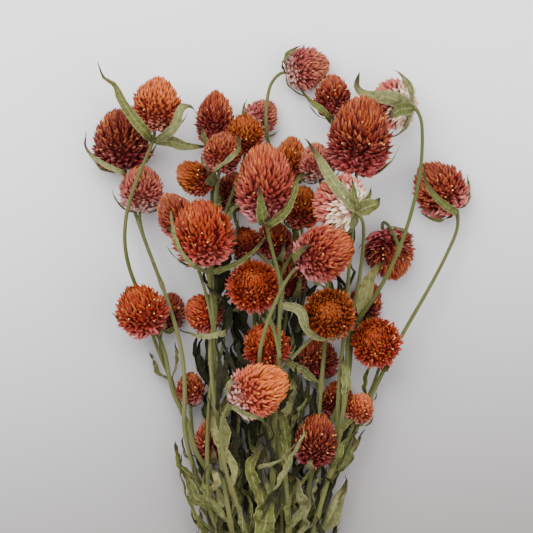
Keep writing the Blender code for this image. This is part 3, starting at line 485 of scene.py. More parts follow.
class Skeleton:
    """The heads in their places and the strands that carry them."""

    def __init__(self) -> None:
        """Settles the heads, then routes and bends the strands."""
        self.settle_heads()
        self.strands = self.route_strands()
        self.bend_clear()

    def settle_heads(self) -> None:
        """Gives each head its height: as low as the table, its layer and the heads under it let it."""
        lying = []
        for bloom in sorted(BLOOMS, key=lambda b: b.layer):
            bloom.z = 0.0
            radius = bloom.balls()[0][1]
            lowest = min(ball.z for ball, _ in bloom.balls())
            height = radius * (1 - SIZES.press) - lowest if bloom.layer == 0 else radius - lowest
            height += bloom.layer * SIZES.layer_step
            for ball, radius in bloom.balls():
                for other, other_radius in lying:
                    reach = radius + other_radius + SIZES.stack_gap
                    apart = math.hypot(ball.x - other.x, ball.y - other.y)
                    if apart < reach:
                        height = max(height, other.z + math.sqrt(reach**2 - apart**2) - ball.z)
            bloom.z = height
            lying += bloom.balls()

    def slot_places(self) -> dict[int, tuple[int, int]]:
        """For each stem, its (column, row) in the tie: rows by its head's height, columns by its x."""
        by_height = sorted(range(len(STEMS)), key=lambda i: STEMS[i].end.z)
        places = {}
        for row in range(SIZES.slot_rows):
            members = by_height[row * SIZES.slot_columns : (row + 1) * SIZES.slot_columns]
            for column, i in enumerate(sorted(members, key=lambda i: STEMS[i].end.x)):
                places[i] = (column, row)
        return places

    def route_stem(self, group: int, stem: Stem, place: tuple[int, int]) -> Strand:
        """Leads a stem from its cut end through the tie and the neck to its end head.

        Args:
            group: The stem's number.
            stem: The stem.
            place: Its (column, row) in the tie.

        Returns:
            The stem's strand.
        """
        column, row = place
        across = column - (SIZES.slot_columns - 1) / 2 + (0.25 if row == 1 else -0.25)
        x = across * SIZES.slot_pitch
        z = SIZES.tie_middle + (row - 1) * SIZES.row_pitch
        neck_x = across / (SIZES.slot_columns / 2) * SIZES.neck_half_width
        neck = Vector((neck_x, SIZES.neck_y, SIZES.neck_heights[row]))
        cut_y = SIZES.cut_y + 0.006 * math.sin(5 * column + 2 * row)
        cut = Vector((x * SIZES.cut_spread, cut_y, z + (row - 1) * 0.0012))
        tied = [Vector((x, SIZES.tie_y + y, z)) for y in (-0.010, -0.004, 0.004, 0.010)]
        seat, axis = stem.end.seat(), stem.end.axis()
        bends = [Vector(b) for b in reversed(stem.bends)]
        way = [cut, *tied, neck, *bends, seat - axis * 0.014, seat]
        return Strand(smooth_route(way, SIZES.step), stem.end, group)

    def route_branch(self, group: int, bloom: Bloom, parent: Strand) -> Strand:
        """Leads a branch from its fork to its side head.

        Args:
            group: The stem's number.
            bloom: The side head.
            parent: The strand that the branch grows from.

        Returns:
            The branch's strand.
        """
        joint = next(i for i, p in enumerate(parent.points) if p.y >= bloom.fork)
        root, along = parent.points[joint], heading(parent.points, joint)
        seat, axis = bloom.seat(), bloom.axis()
        run = seat - axis * 0.011
        out = root + along * (run - root).length * 0.25 + (run - root) * 0.12
        points = smooth_route([root, out, run, seat], SIZES.step)
        return Strand(points, bloom, group, parent, joint / (len(parent.points) - 1))

    def route_strands(self) -> list[Strand]:
        """Every strand, a stem before its own branches."""
        strands = []
        places = self.slot_places()
        for group, stem in enumerate(STEMS):
            main_strand = self.route_stem(group, stem, places[group])
            branches = (self.route_branch(group, side, main_strand) for side in stem.sides)
            strands += [main_strand, *branches]
        return strands

    def push_out(self, point: Vector, radius: float, balls: list, own: Bloom | None) -> Vector:
        """Moves a point out of every ball that it is too near to.

        Args:
            point: A point of a strand.
            radius: The strand's radius there.
            balls: (head, centre, radius) of the balls that hold the heads.
            own: A head that the point may be near, or None.

        Returns:
            The point in the clear.
        """
        for bloom, ball, ball_radius in balls:
            if bloom is own:
                continue
            away = point - ball
            need = ball_radius + radius + SIZES.head_clearance
            if away.length < need:
                clear = away.length > 1e-6
                point = ball + away.normalized() * need if clear else point + Vector((0, 0, need))
        return point

    def shoves(self, reach: float) -> dict[tuple[int, int], Vector]:
        """How far the strands push each other's points.

        Args:
            reach: The distance past which points don't press on each other.

        Returns:
            The push on each point, by its strand's and its own number.
        """
        strands = self.strands
        index = [(s, i) for s in range(len(strands)) for i in range(len(strands[s].points))]
        tree = KDTree(len(index))
        for k, (s, i) in enumerate(index):
            tree.insert(strands[s].points[i], k)
        tree.balance()
        moves = {}
        for s, i in index:
            strand = strands[s]
            if strand.held(i):
                continue
            point, push = strand.points[i], Vector()
            for other, m, apart in tree.find_range(point, reach):
                t, j = index[m]
                need = (strand.radius(i) + strands[t].radius(j)) * SIZES.corner + SIZES.clearance
                need *= min(1.0, 0.6 + 0.4 * (point.y - SIZES.tie_y - 0.013) / SIZES.fan_length)
                if strands[t].group != strand.group and 1e-7 < apart < need:
                    share = 1.1 if strands[t].held(j) else 0.6
                    push += (point - other) / apart * (need - apart) * share
            moves[(s, i)] = push
        return moves

    def bend_clear(self) -> None:
        """Bends the strands round the heads and each other, as stiff stems in a bunch give way."""
        balls = [(bloom, ball, radius) for bloom in BLOOMS for ball, radius in bloom.balls()]
        reach = 2 * SIZES.stem_radius * SIZES.corner + SIZES.clearance
        for turn in range(SIZES.rounds):
            settle = turn >= SIZES.rounds - 36
            if turn % SIZES.respace_every == 0 and not settle:
                for strand in self.strands:
                    strand.respace()
            moves = self.shoves(reach)
            for s, strand in enumerate(self.strands):
                old = [p.copy() for p in strand.points]
                last = len(old) - 1
                for i in range(1, last):
                    if strand.held(i):
                        continue
                    ease = 0.08 if settle else 0.4
                    point = old[i] + ease * ((old[i - 1] + old[i + 1]) / 2 - old[i]) + moves[(s, i)]
                    own = strand.bloom if last - i < 5 else None
                    point = self.push_out(point, strand.radius(i), balls, own)
                    point.z = max(point.z, strand.radius(i) * SIZES.corner + 0.0002)
                    strand.points[i] = point
                if strand.parent is not None:
                    strand.points[0] = strand.parent.points[strand.joint()].copy()


@dataclass
class Leaf:
    """A dried leaf.

    Attributes:
        path: Its midrib.
        half_width: Half its width where it is widest.
        roll: How far it is turned about its midrib at the root, in radians.
        twist: How far it turns further on the way to its tip.
        faces: Its faces from side to side and from end to end.
        gloom: How dark the depth of the bunch makes it, from 0 to 1.
        curl: The most that its sides may roll up.
    """

    path: list[Vector]
    half_width: float
    roll: float
    twist: float
    outline: Outline = Outline.LEAF
    faces: tuple[int, int] = (8, 24)
    gloom: float = 0.0
    curl: float = 2.6

    def widths(self, count: int) -> list[float]:
        """Half width at each of `count` stations from the root to the tip."""
        root, tip = self.outline.value
        peak = (root / (root + tip)) ** root * (tip / (root + tip)) ** tip
        shares = [i / (count - 1) for i in range(count)]
        return [self.half_width * t**root * (1 - t) ** tip / peak for t in shares]

    def stations(self, count: int) -> list[tuple[Vector, Vector, Vector, float]]:
        """Frames along the leaf.

        Args:
            count: How many stations to give.

        Returns:
            The midrib point, side vector, face normal and half width of each station.
        """
        path = evenly(self.path, count)
        start = heading(path, 0)
        side = start.cross(Vector((0, 0, 1)))
        side = side if side.length > 0.1 else start.cross(Vector((1, 0, 0)))
        side = Matrix.Rotation(self.roll, 3, start) @ side.normalized()
        rows = []
        for i, (point, half) in enumerate(zip(path, self.widths(count))):
            along = heading(path, i)
            side = (side - along * side.dot(along)).normalized()
            side = Matrix.Rotation(self.twist / (count - 1), 3, along) @ side
            rows.append((point, side, side.cross(along).normalized(), half))
        return rows

    def marks(self) -> np.ndarray:
        """Points on the midrib and both edges, for testing what the leaf is clear of."""
        found = []
        for point, side, _, half in self.stations(15):
            found += [point, point + side * half, point - side * half]
        return np.array([tuple(p) for p in found])


# Leaves that show plainly from above: the head whose strand carries the leaf, or None for the nearest strand,
# the half width, the roll and twist in degrees, and the plan of its midrib as (x, y). Lengths are tenths of a
# millimetre.
SHOWN_LEAVES = [
    ("bloom_01", 35, 0, 30, [(-580, 1965), (-665, 2075), (-725, 2165), (-760, 2240), (-820, 2285),
                             (-845, 2355)]),
    ("bloom_01", 30, -20, 60, [(-560, 1965), (-465, 2015), (-410, 2130), (-380, 2135), (-340, 2075)]),
    ("bloom_01", 28, 0, 40, [(-560, 1950), (-495, 1960), (-415, 1935), (-295, 1935)]),
    ("bloom_02", 27, 15, 30, [(-730, 1810), (-860, 1875), (-905, 1925), (-910, 2005)]),
    ("bloom_13", 50, 0, 30, [(-320, 1740), (-280, 1770), (-220, 1830), (-135, 1910), (-145, 1985)]),
    ("bloom_15", 30, 10, 80, [(10, 1555), (90, 1605), (130, 1690), (150, 1765), (235, 1800)]),
    ("bloom_31", 34, 0, 30, [(400, 1630), (315, 1765), (240, 1890), (190, 1965)]),
    ("bloom_31", 45, 0, 40, [(410, 1630), (490, 1625), (540, 1645), (560, 1670)]),
    ("bloom_31", 26, 0, 30, [(420, 1640), (430, 1700), (420, 1770)]),
    ("bloom_25", 40, 0, 60, [(700, 2145), (590, 2180), (490, 2190), (450, 2230), (465, 2300)]),
    ("bloom_25", 38, 0, 20, [(715, 2135), (660, 2110), (600, 2065)]),
    ("bloom_28", 26, 0, 20, [(920, 1640), (840, 1680), (785, 1765), (790, 1840)]),
    ("bloom_28", 20, 0, 40, [(940, 1640), (985, 1670), (1015, 1705)]),
    ("bloom_21", 22, 10, 60, [(350, 2070), (280, 2110), (205, 2170), (165, 2230)]),
    (None, 33, 0, 40, [(85, 1125), (165, 1115), (205, 1015), (315, 975), (390, 1015)]),
    (None, 36, 0, 20, [(480, 1060), (490, 1180), (540, 1315), (590, 1360)]),
    ("bloom_07", 20, 20, 30, [(-290, 1280), (-390, 1360), (-460, 1490), (-475, 1610)]),
    ("bloom_07", 24, 10, 90, [(-290, 1280), (-150, 1350), (-50, 1430), (20, 1520)]),
    ("bloom_09", 22, 0, 40, [(-200, 1000), (-335, 985), (-435, 1015)]),
    ("bloom_29", 20, 0, 40, [(580, 860), (510, 835), (455, 890)]),
    ("bloom_40", 18, 0, 80, [(-90, 640), (-15, 555), (15, 505)]),
    ("bloom_07", 30, 0, 30, [(-240, 700), (-215, 775), (-265, 860)]),
    (None, 30, 0, 50, [(-150, 215), (-170, 340), (-225, 425), (-265, 515), (-275, 615), (-300, 680)]),
    (None, 24, 10, 60, [(-175, 365), (-205, 490), (-230, 615), (-200, 690)]),
    (None, 58, 0, 20, [(-10, -60), (-5, 115), (-25, 215), (-25, 270)]),
    (None, 32, 0, 30, [(80, 280), (95, 440), (85, 545), (55, 640)]),
    (None, 16, 0, 60, [(-55, 315), (40, 355), (120, 425), (175, 505)]),
    (None, 22, 0, 50, [(25, 215), (90, 315), (145, 415), (180, 515), (165, 590)]),
    (None, 20, 0, 60, [(370, 290), (360, 390), (385, 460), (455, 505)]),
    ("bloom_28", 26, 0, 90, [(350, 240), (425, 365), (475, 440), (510, 515), (540, 590), (525, 640)]),
    (None, 25, 0, 30, [(375, 500), (400, 555), (440, 585)]),
    (None, 26, 0, 90, [(-385, 240), (-425, 315), (-450, 390), (-460, 450)]),
    (None, 24, 0, 60, [(-335, 200), (-270, 215), (-250, 275), (-280, 325)]),
    (None, 24, 0, 30, [(275, 740), (190, 805), (115, 850), (55, 875)]),
    (None, 27, 0, 40, [(425, 665), (395, 770), (380, 890)]),
]


class Room:
    """What the leaves keep clear of: the heads, the strands and the leaves placed so far."""

    def __init__(self, strands: list[Strand]) -> None:
        """Starts with the heads and the strands."""
        self.centres = np.array([tuple(b.centre()) for b in BLOOMS])
        self.axes = np.array([tuple(b.axis()) for b in BLOOMS])
        self.half_widths = np.array([b.width / 2 for b in BLOOMS])
        self.half_lengths = np.array([b.length / 2 for b in BLOOMS])
        self.points = np.zeros((0, 3))
        self.needs = np.zeros(0)
        self.groups = np.zeros(0, int)
        for strand in strands:
            points = evenly(strand.points, 2 * len(strand.points) - 1)
            needs = [strand.radius(i / 2) * SIZES.corner + SIZES.leaf_gap * 0.6 for i in range(len(points))]
            self.extend(points, needs, strand.group)

    def extend(self, points: np.ndarray | list, needs: np.ndarray | list, group: int) -> None:
        """Adds points to keep clear of, with the distance that each needs."""
        self.points = np.vstack([self.points, [tuple(p) for p in points]])
        self.needs = np.concatenate([self.needs, needs])
        self.groups = np.concatenate([self.groups, np.full(len(points), group)])

    def head_room(self, marks: np.ndarray) -> np.ndarray:
        """How far each mark is outside each head, which is an egg cut off flat at its base."""
        offset = marks[:, None] - self.centres[None]
        along = (offset * self.axes[None]).sum(2)
        across = np.sqrt(np.maximum((offset**2).sum(2) - along**2, 0.0))
        wide = self.half_widths * np.where(along < 0, 1.1, 1.0)
        ratio = np.sqrt((across / wide) ** 2 + (along / self.half_lengths) ** 2)
        outside = (ratio - 1) * np.minimum(self.half_widths, self.half_lengths)
        below = -along - self.half_lengths * math.cos(SIZES.base_angle)
        return np.maximum(outside, below)

    def spare(self, leaf: Leaf, group: int, fanned: bool = False) -> float:
        """Measures how clear a leaf is of everything else.

        Args:
            leaf: The leaf.
            group: The number of the stem that carries it.
            fanned: True if it also has to stay inside the bunch's fan.

        Returns:
            The least spare distance, negative where something is too near.
        """
        marks = leaf.marks()[6:]
        least = self.head_room(marks).min() - SIZES.leaf_head_gap
        low, high = marks.min(0) - 0.005, marks.max(0) + 0.005
        close = (self.points > low).all(1) & (self.points < high).all(1)
        for mine, tested in ((False, marks), (True, marks[12:])):
            near = close & ((self.groups == group) == mine)
            if near.any():
                apart = np.linalg.norm(tested[:, None] - self.points[near][None], axis=2)
                least = min(least, (apart - self.needs[near]).min())
        fan_marks = marks[marks[:, 1] < SIZES.fan_top]
        if fanned and len(fan_marks):
            x, y, z = fan_marks.T
            slope = np.where(y > 0, SIZES.fan_widening, SIZES.fan_narrowing)
            beside = SIZES.fan_half_width + slope * y - np.abs(x)
            above = SIZES.fan_height + SIZES.fan_climb * y - z
            least = min(least, beside.min(), above.min())
        return min(least, marks[:, 2].min() - SIZES.leaf_floor_gap)

    def lifted(self, path: list[Vector], margin: float, group: int) -> list[Vector]:
        """Raises a path over what lies under it.

        Args:
            path: The path in plan.
            margin: How far above the heads and the other stems it passes.
            group: The number of the stem that carries the leaf.

        Returns:
            The raised path, with its steps eased.
        """
        plan = np.array([tuple(p) for p in path])
        heights = plan[:, 2].copy()
        foreign = self.groups != group
        points, needs = self.points[foreign], self.needs[foreign] + margin
        for i, (x, y, _) in enumerate(plan[1:], 1):
            apart = np.hypot(points[:, 0] - x, points[:, 1] - y)
            over = apart < needs
            if over.any():
                tops = points[over, 2] + np.sqrt(needs[over] ** 2 - apart[over] ** 2)
                heights[i] = max(heights[i], tops.max())
            while self.head_room(np.array([[x, y, heights[i]]])).min() < margin:
                heights[i] += 0.0008
        for _ in range(8):
            for i in range(1, len(heights) - 1):
                heights[i] = max(heights[i], (heights[i - 1] + heights[i + 1]) / 2)
        return [Vector((x, y, z)) for (x, y, _), z in zip(plan, heights)]


@dataclass
class Foliage:
    """The leaves of every stem, each in the clearest place that its seeded trials find.

    Attributes:
        trials: Tries for each leaf at a node, which end as soon as one is roomy.
        node_leaves: The y, leaf length and half width of each pair on a stem.
        branch_leaves: The same for the pair on a branch, from its fork.
        bare_left: The x past which a stem is bare above its foot.
        calm_from: The y past which the leaves that show are broad and calm.
        filler_size: Length and half width of the small fillers.
        filler_reach: The least and most y of their roots.
        middle: The least and most x of their roots past middle_from.
        depth_from: The y past which their roots are below depth_height, under the heads.
        filler_slack: How far they may cross another leaf, as room below nought.
        cell: Side of the cells of the plan that shadows are counted in.
        leaves: The leaves placed so far, by the number of their stem.
    """

    strands: list[Strand]
    trials: int = 24
    roomy: float = 0.0010
    node_leaves: tuple = (
        (-0.028, 0.040, 0.0030),
        (0.002, 0.040, 0.0032),
        (0.030, 0.036, 0.0030),
        (0.058, 0.026, 0.0024),
    )
    branch_leaves: tuple[float, float, float] = (0.012, 0.024, 0.0021)
    bare_left: float = -0.03
    calm_from: float = 0.09
    fillers_per_stem: int = 74
    filler_trials: int = 10
    filler_size: tuple[float, float] = (0.036, 0.0029)
    filler_reach: tuple[float, float] = (-0.050, 0.128)
    middle: tuple[float, float] = (-0.026, 0.034)
    middle_from: float = 0.028
    depth_from: float = 0.068
    depth_height: float = 0.044
    filler_slack: float = -0.0020
    cell: float = 0.0015
    leaves: dict[int, list[Leaf]] = field(default_factory=dict)

    def __post_init__(self) -> None:
        """Places the leaves that show, the leafy bracts, the pairs at the nodes and the small fillers."""
        self.room = Room(self.strands)
        self.head_cells = {}
        for centre, radius in (ball for bloom in BLOOMS for ball in bloom.balls()):
            reach = round(radius / self.cell)
            for i, j in ((i, j) for i in range(-reach, reach + 1) for j in range(-reach, reach + 1)):
                if math.hypot(i, j) <= reach:
                    cell = (round(centre.x / self.cell) + i, round(centre.y / self.cell) + j)
                    self.head_cells[cell] = max(self.head_cells.get(cell, 0.0), centre.z)
        self.place_shown_leaves()
        self.place_head_bracts()
        self.place_stem_leaves()
        self.place_fillers()

    def keep(self, leaf: Leaf, strand: Strand, node: int | None) -> None:
        """Adds a leaf to its stem and marks the node that it grows from."""
        if node is not None:
            strand.nodes.add(node)
        self.leaves.setdefault(strand.group, []).append(leaf)
        marks = leaf.marks()
        self.room.extend(marks, np.full(len(marks), SIZES.leaf_gap), strand.group)

    def nearest_node(self, name: str | None, x: float, y: float) -> tuple[Strand, int]:
        """Finds where a leaf that shows at (x, y) grows from.

        Args:
            name: The head whose strand carries the leaf, or None for any strand.
            x: The root's x in plan.
            y: The root's y in plan.

        Returns:
            The strand and the index of its point, near in plan and high up.
        """
        costs = {}
        for s, strand in enumerate(self.strands):
            if name in (None, strand.bloom.name):
                for i, point in enumerate(strand.points[2:-1], 2):
                    costs[s, i] = math.hypot(point.x - x, point.y - y) - (0.0 if name else 0.2 * point.z)
        s, i = min(costs, key=costs.get)
        return self.strands[s], i

    def place_shown_leaves(self) -> None:
        """Places the leaves that show plainly from above."""
        for name, half, roll, twist, spots in SHOWN_LEAVES:
            half_width = metres(half)[0]
            plan = [metres(*spot) for spot in spots]
            strand, node = self.nearest_node(name, *plan[0])
            root = strand.points[node].copy()
            best, best_room = None, -0.0001
            for trial in range(16):
                way = smooth_route([root, *(Vector((x, y, root.z)) for x, y in plan[1:])], 0.003)
                margin = 0.0012 + half_width * 0.25 * (trial // 2)
                shrink = 1 - 0.025 * trial
                path = self.room.lifted(way, margin, strand.group)
                turned = math.radians(roll + 14 * (trial % 3 - 1))
                outline, curl = (Outline.SHOWN, 1.1) if plan[0][1] > self.calm_from else (Outline.LEAF, 2.0)
                leaf = Leaf(path, half_width * shrink, turned, math.radians(twist), outline, curl=curl)
                room = self.room.spare(leaf, strand.group)
                if room > best_room:
                    best, best_room = leaf, room
                if room > 0.0003:
                    break
            if best is not None:
                self.keep(best, strand, node)

    def leaf_nodes(self, strand: Strand) -> list[tuple[float, float, float]]:
        """The y, leaf length and half width of each pair of leaves that a strand carries."""
        if strand.parent is not None:
            rise, length, half_width = self.branch_leaves
            return [(strand.points[0].y + rise, length, half_width)]
        end = strand.points[-1]
        top = min(end.y - 0.05, 0.025 if end.x < self.bare_left else 1.0)
        return [pair for pair in self.node_leaves if pair[0] < top]

    def try_leaf(
        self, draw: random.Random, strand: Strand, node: int, turn: float, length: float, half_width: float
    ) -> Leaf:
        """Draws one way for a dried leaf to hang from its node: it stands out, curls and crumples.

        Args:
            draw: The seeded draw.
            strand: The strand that carries the leaf.
            node: The index of the point that it grows from.
            turn: The side of the strand that it grows on, as an angle.
            length: Its length before the draw changes it.
            half_width: Its half width before the draw changes it.

        Returns:
            The leaf.
        """
        root, along = strand.points[node], heading(strand.points, node)
        out = along.orthogonal().normalized()
        out = Matrix.Rotation(turn + draw.uniform(-0.9, 0.9), 3, along) @ out
        spread = draw.uniform(0.06, 0.40)
        curl = draw.uniform(-0.5, 0.9)
        sway = out.cross(along) * draw.uniform(-0.25, 0.25)
        size = length * draw.uniform(0.75, 1.1)
        path = []
        for k in range(9):
            t = k / 8
            lift = spread * t + 0.22 * math.sin(math.pi * t) - curl * 0.35 * t * t
            kink = Vector([draw.uniform(-1, 1) for _ in range(3)]) * 0.035 * size * (k > 1)
            run = along * size * t * (1 - 0.12 * abs(curl) * t)
            path.append(root + run + (out * lift * 0.8 + sway * t * t) * size + kink)
        half = half_width * draw.uniform(0.8, 1.15)
        return Leaf(path, half, draw.uniform(0, math.tau), draw.uniform(-2.0, 2.0))

    def place_stem_leaves(self) -> None:
        """Places the pairs of leaves at the nodes of every strand."""
        draw = random.Random(SEED)
        for strand in self.strands:
            last = len(strand.points) - 1
            for rank, (y, length, half_width) in enumerate(self.leaf_nodes(strand)):
                y += draw.uniform(-0.008, 0.008)
                node = next((i for i, p in enumerate(strand.points) if p.y > y), last)
                if not 1 < node < last - 5:
                    continue
                for pair in (0, 1):
                    turn = rank * math.pi / 2 + pair * math.pi
                    best, best_room = None, 0.0
                    for trial in range(self.trials):
                        shrink = 1 - 0.35 * trial / self.trials
                        leaf = self.try_leaf(draw, strand, node, turn, length * shrink, half_width * shrink)
                        room = self.room.spare(leaf, strand.group, fanned=True)
                        if room > best_room:
                            room -= 0.00015 * self.hidden(leaf)
                        if room > best_room:
                            best, best_room = leaf, room
                        if room > self.roomy:
                            break
                    if best is not None:
                        self.keep(best, strand, node)

    def place_head_bracts(self) -> None:
        """Places the pair of leafy bracts that cup each head from below."""
        draw = random.Random(SEED + 1)
        for strand in self.strands:
            bloom = strand.bloom
            axis = bloom.axis()
            root = strand.points[-1] - axis * 0.0012
            side = axis.orthogonal().normalized()
            start = draw.uniform(0, math.pi)
            for pair in (0, 1):
                best, best_room = None, 0.0
                for trial in range(20):
                    turn = start + pair * math.pi + draw.uniform(-0.5, 0.5) * trial / 4
                    reach = (0.85 - 0.02 * trial) * draw.uniform(0.85, 1.1)
                    leaf = self.cupping_bract(bloom, root, Matrix.Rotation(turn, 3, axis) @ side, reach)
                    room = self.room.spare(leaf, strand.group)
                    if room > best_room:
                        best, best_room = leaf, room
                    if room > 0.0004:
                        break
                if best is not None:
                    self.keep(best, strand, None)

    def cupping_bract(self, bloom: Bloom, root: Vector, out: Vector, reach: float) -> Leaf:
        """Bends a leafy bract round the base of a head.

        Args:
            bloom: The head.
            root: Where the bract grows from.
            out: The side of the head that it lies on.
            reach: How far up the head it comes, as a share of a quarter turn and a little more.

        Returns:
            The bract, with its face to the head.
        """
        axis = bloom.axis()
        path = [root]
        for k in range(1, 7):
            angle = math.radians(12) + k / 6 * reach * math.radians(95)
            stand = 1.03 + 0.16 * (k / 6) ** 2
            across = math.sin(angle) * (bloom.width / 2 * stand + 0.0020)
            down = -math.cos(angle) * (bloom.length / 2 * stand + 0.0016)
            path.append(bloom.centre() + out * across + axis * down)
        leaf = Leaf(path, max(bloom.width * 0.11, 0.0018), 0.0, 0.0, Outline.BRACT, (6, 12), curl=1.0)
        rolls = [k * math.pi / 12 for k in range(12)]
        facing = []
        for roll in rolls:
            leaf.roll = roll
            facing.append(abs(leaf.stations(5)[2][2].dot(out)))
        leaf.roll = rolls[facing.index(max(facing))]
        return leaf

    def shadow(self, leaf: Leaf) -> set[tuple[int, int]]:
        """The cells of the plan that a leaf covers."""
        return {
            (round(spot.x / self.cell), round(spot.y / self.cell))
            for point, side, _, half in leaf.stations(17)
            for spot in (point + side * (half * w) for w in (-0.9, -0.45, 0.0, 0.45, 0.9))
        }

    def hidden(self, leaf: Leaf) -> int:
        """How many cells of the heads a leaf hides from above."""
        height = leaf.path[len(leaf.path) // 2].z
        return sum(self.head_cells.get(cell, math.inf) < height for cell in self.shadow(leaf))

    def place_fillers(self) -> None:
        """Places smaller leaves low in the fan, where the table would show between the others."""
        draw = random.Random(SEED + 2)
        rows = {}
        for strand in self.strands:
            for point in evenly(strand.points, 8 * len(strand.points)):
                rows.setdefault(round(point.y / self.cell), set()).add(round(point.x / self.cell))
        inside = {(x, y) for y, found in rows.items() for x in range(min(found) - 1, max(found) + 2)}
        bare = inside - {(x, y) for y, found in rows.items() for x in found} - set(self.head_cells)
        for leaves in self.leaves.values():
            bare = bare.difference(*map(self.shadow, leaves))
        stems = [strand for strand in self.strands if strand.parent is None]
        length, half_width = self.filler_size
        for _ in range(self.fillers_per_stem):
            for strand in stems:
                y = draw.uniform(*self.filler_reach)
                node = next((i for i, p in enumerate(strand.points) if p.y > y), 0)
                root = strand.points[node]
                beside = y > self.middle_from and not self.middle[0] < root.x < self.middle[1]
                high = y > self.depth_from and root.z > self.depth_height
                if beside or high or not 1 < node < len(strand.points) - 8:
                    continue
                best, best_gain = None, 3
                for trial in range(self.filler_trials):
                    shrink = 1 - 0.04 * trial
                    turn = draw.uniform(0, math.tau)
                    leaf = self.try_leaf(draw, strand, node, turn, length * shrink, half_width * shrink)
                    leaf.faces = (6, 13)
                    # Painted shade of the bunch's depth: random, and darker further up the fan, under the
                    # heads.
                    leaf.gloom = min(draw.uniform(0.3, 1.3) + max(y - 0.03, 0.0) * 15, 1.0)
                    cast = self.shadow(leaf)
                    gain = len(cast & bare) - 2 * len(cast - inside) - 3 * self.hidden(leaf)
                    if gain > best_gain and self.room.spare(leaf, strand.group, True) > self.filler_slack:
                        best, best_gain = leaf, gain
                if best is not None:
                    bare -= self.shadow(best)
                    self.keep(best, strand, None)


class Value:
    """A shader socket that carries a number, a colour or a vector. Numbers take arithmetic."""

    def __init__(self, graph: "Graph", socket: bpy.types.NodeSocket) -> None:
        """Wraps an output socket of a graph's node."""
        self.graph = graph
        self.socket = socket

    def math(self, operation: str, first: "Value | float", second: "Value | float" = 0.0) -> "Value":
        """A Math node on two numbers."""
        return self.graph.node("ShaderNodeMath", {"operation": operation}, {0: first, 1: second})

    def __add__(self, other: "Value | float") -> "Value":
        """self + other."""
        return self.math("ADD", self, other)

    __radd__ = __add__

    def __sub__(self, other: "Value | float") -> "Value":
        """self - other."""
        return self.math("SUBTRACT", self, other)

    def __rsub__(self, other: float) -> "Value":
        """other - self."""
        return self.math("SUBTRACT", other, self)

    def __mul__(self, other: "Value | float") -> "Value":
        """self * other."""
        return self.math("MULTIPLY", self, other)

    __rmul__ = __mul__

    def __abs__(self) -> "Value":
        """The size of the number, without its sign."""
        return self.math("ABSOLUTE", self)

    def wave(self) -> "Value":
        """A saw that runs from 0 up to 1 and back within each unit."""
        return self.math("PINGPONG", self, 0.5) * 2.0


class Graph:
    """A material whose nodes are added one by one."""

    def __init__(self, name: str, roughness: float, **constants: float) -> None:
        """Starts a material.

        Args:
            name: The material's name.
            roughness: The roughness where nothing else is fed.
            **constants: Shader sockets that are the same all over, with _ for a space.
        """
        self.material = bpy.data.materials.new(name)
        self.material.use_nodes = True
        self.tree = self.material.node_tree
        self.shader = self.tree.nodes["Principled BSDF"]
        self.shader.inputs["Roughness"].default_value = roughness
        for key, value in constants.items():
            self.shader.inputs[key.replace("_", " ")].default_value = value

    def feed(self, socket: bpy.types.NodeSocket, value: "Value | float | Colour") -> None:
        """Links a value to a socket, or sets a plain number or colour on it."""
        if isinstance(value, Value):
            self.tree.links.new(value.socket, socket)
        else:
            socket.default_value = value

    def node(self, kind: str, settings: dict, inputs: dict, output: int | str = 0) -> Value:
        """Adds any node.

        Args:
            kind: The node's type.
            settings: Its settings, which are set first.
            inputs: The values or links of its sockets, by name or number.
            output: The socket to return, by name or number.

        Returns:
            The output socket.
        """
        node = self.tree.nodes.new(kind)
        for key, value in settings.items():
            setattr(node, key, value)
        for key, value in inputs.items():
            self.feed(node.inputs[key], value)
        return Value(self, node.outputs[output])

    def attribute(self, name: str) -> Value:
        """A number layer of the mesh."""
        return self.node("ShaderNodeAttribute", {"attribute_name": name}, {}, "Fac")

    def place(self) -> Value:
        """The point on the object."""
        return self.node("ShaderNodeTexCoord", {}, {}, "Object")

    def vector(self, x: "Value | float", y: "Value | float", z: "Value | float") -> Value:
        """A vector of three numbers."""
        return self.node("ShaderNodeCombineXYZ", {}, {0: x, 1: y, 2: z})

    def noise(self, where: Value, scale: float, detail: float = 2.0) -> Value:
        """Soft noise from 0 to 1."""
        inputs = {"Vector": where, "Scale": scale, "Detail": detail}
        return self.node("ShaderNodeTexNoise", {}, inputs, "Fac")

    def rise(self, value: Value, low: float, high: float) -> Value:
        """0 under low, 1 over high and smooth between them."""
        inputs = {"Value": value, "From Min": low, "From Max": high}
        return self.node("ShaderNodeMapRange", {"interpolation_type": "SMOOTHSTEP"}, inputs)

    def mix(self, share: "Value | float", first: "Value | Colour", second: "Value | Colour") -> Value:
        """The first colour where share is 0, the second where it is 1."""
        return self.node("ShaderNodeMix", {"data_type": "RGBA"}, {0: share, 6: first, 7: second}, 2)

    def shade(self, share: "Value | float", colour: Value, by: "Value | Colour") -> Value:
        """The colour multiplied by another one."""
        settings = {"data_type": "RGBA", "blend_type": "MULTIPLY"}
        return self.node("ShaderNodeMix", settings, {0: share, 6: colour, 7: by}, 2)

    def dress(
        self, colour: Value, roughness: "Value | float", height: Value, depth: float
    ) -> bpy.types.Material:
        """Feeds the shader.

        Args:
            colour: The base colour.
            roughness: The roughness.
            height: The height that the bump is made from.
            depth: What a height of 1 stands for, in metres.

        Returns:
            The finished material.
        """
        self.feed(self.shader.inputs["Base Color"], colour)
        self.feed(self.shader.inputs["Roughness"], roughness)
        bump = self.node("ShaderNodeBump", {}, {"Height": height, "Distance": depth, "Strength": 1.0})
        self.feed(self.shader.inputs["Normal"], bump)
        return self.material


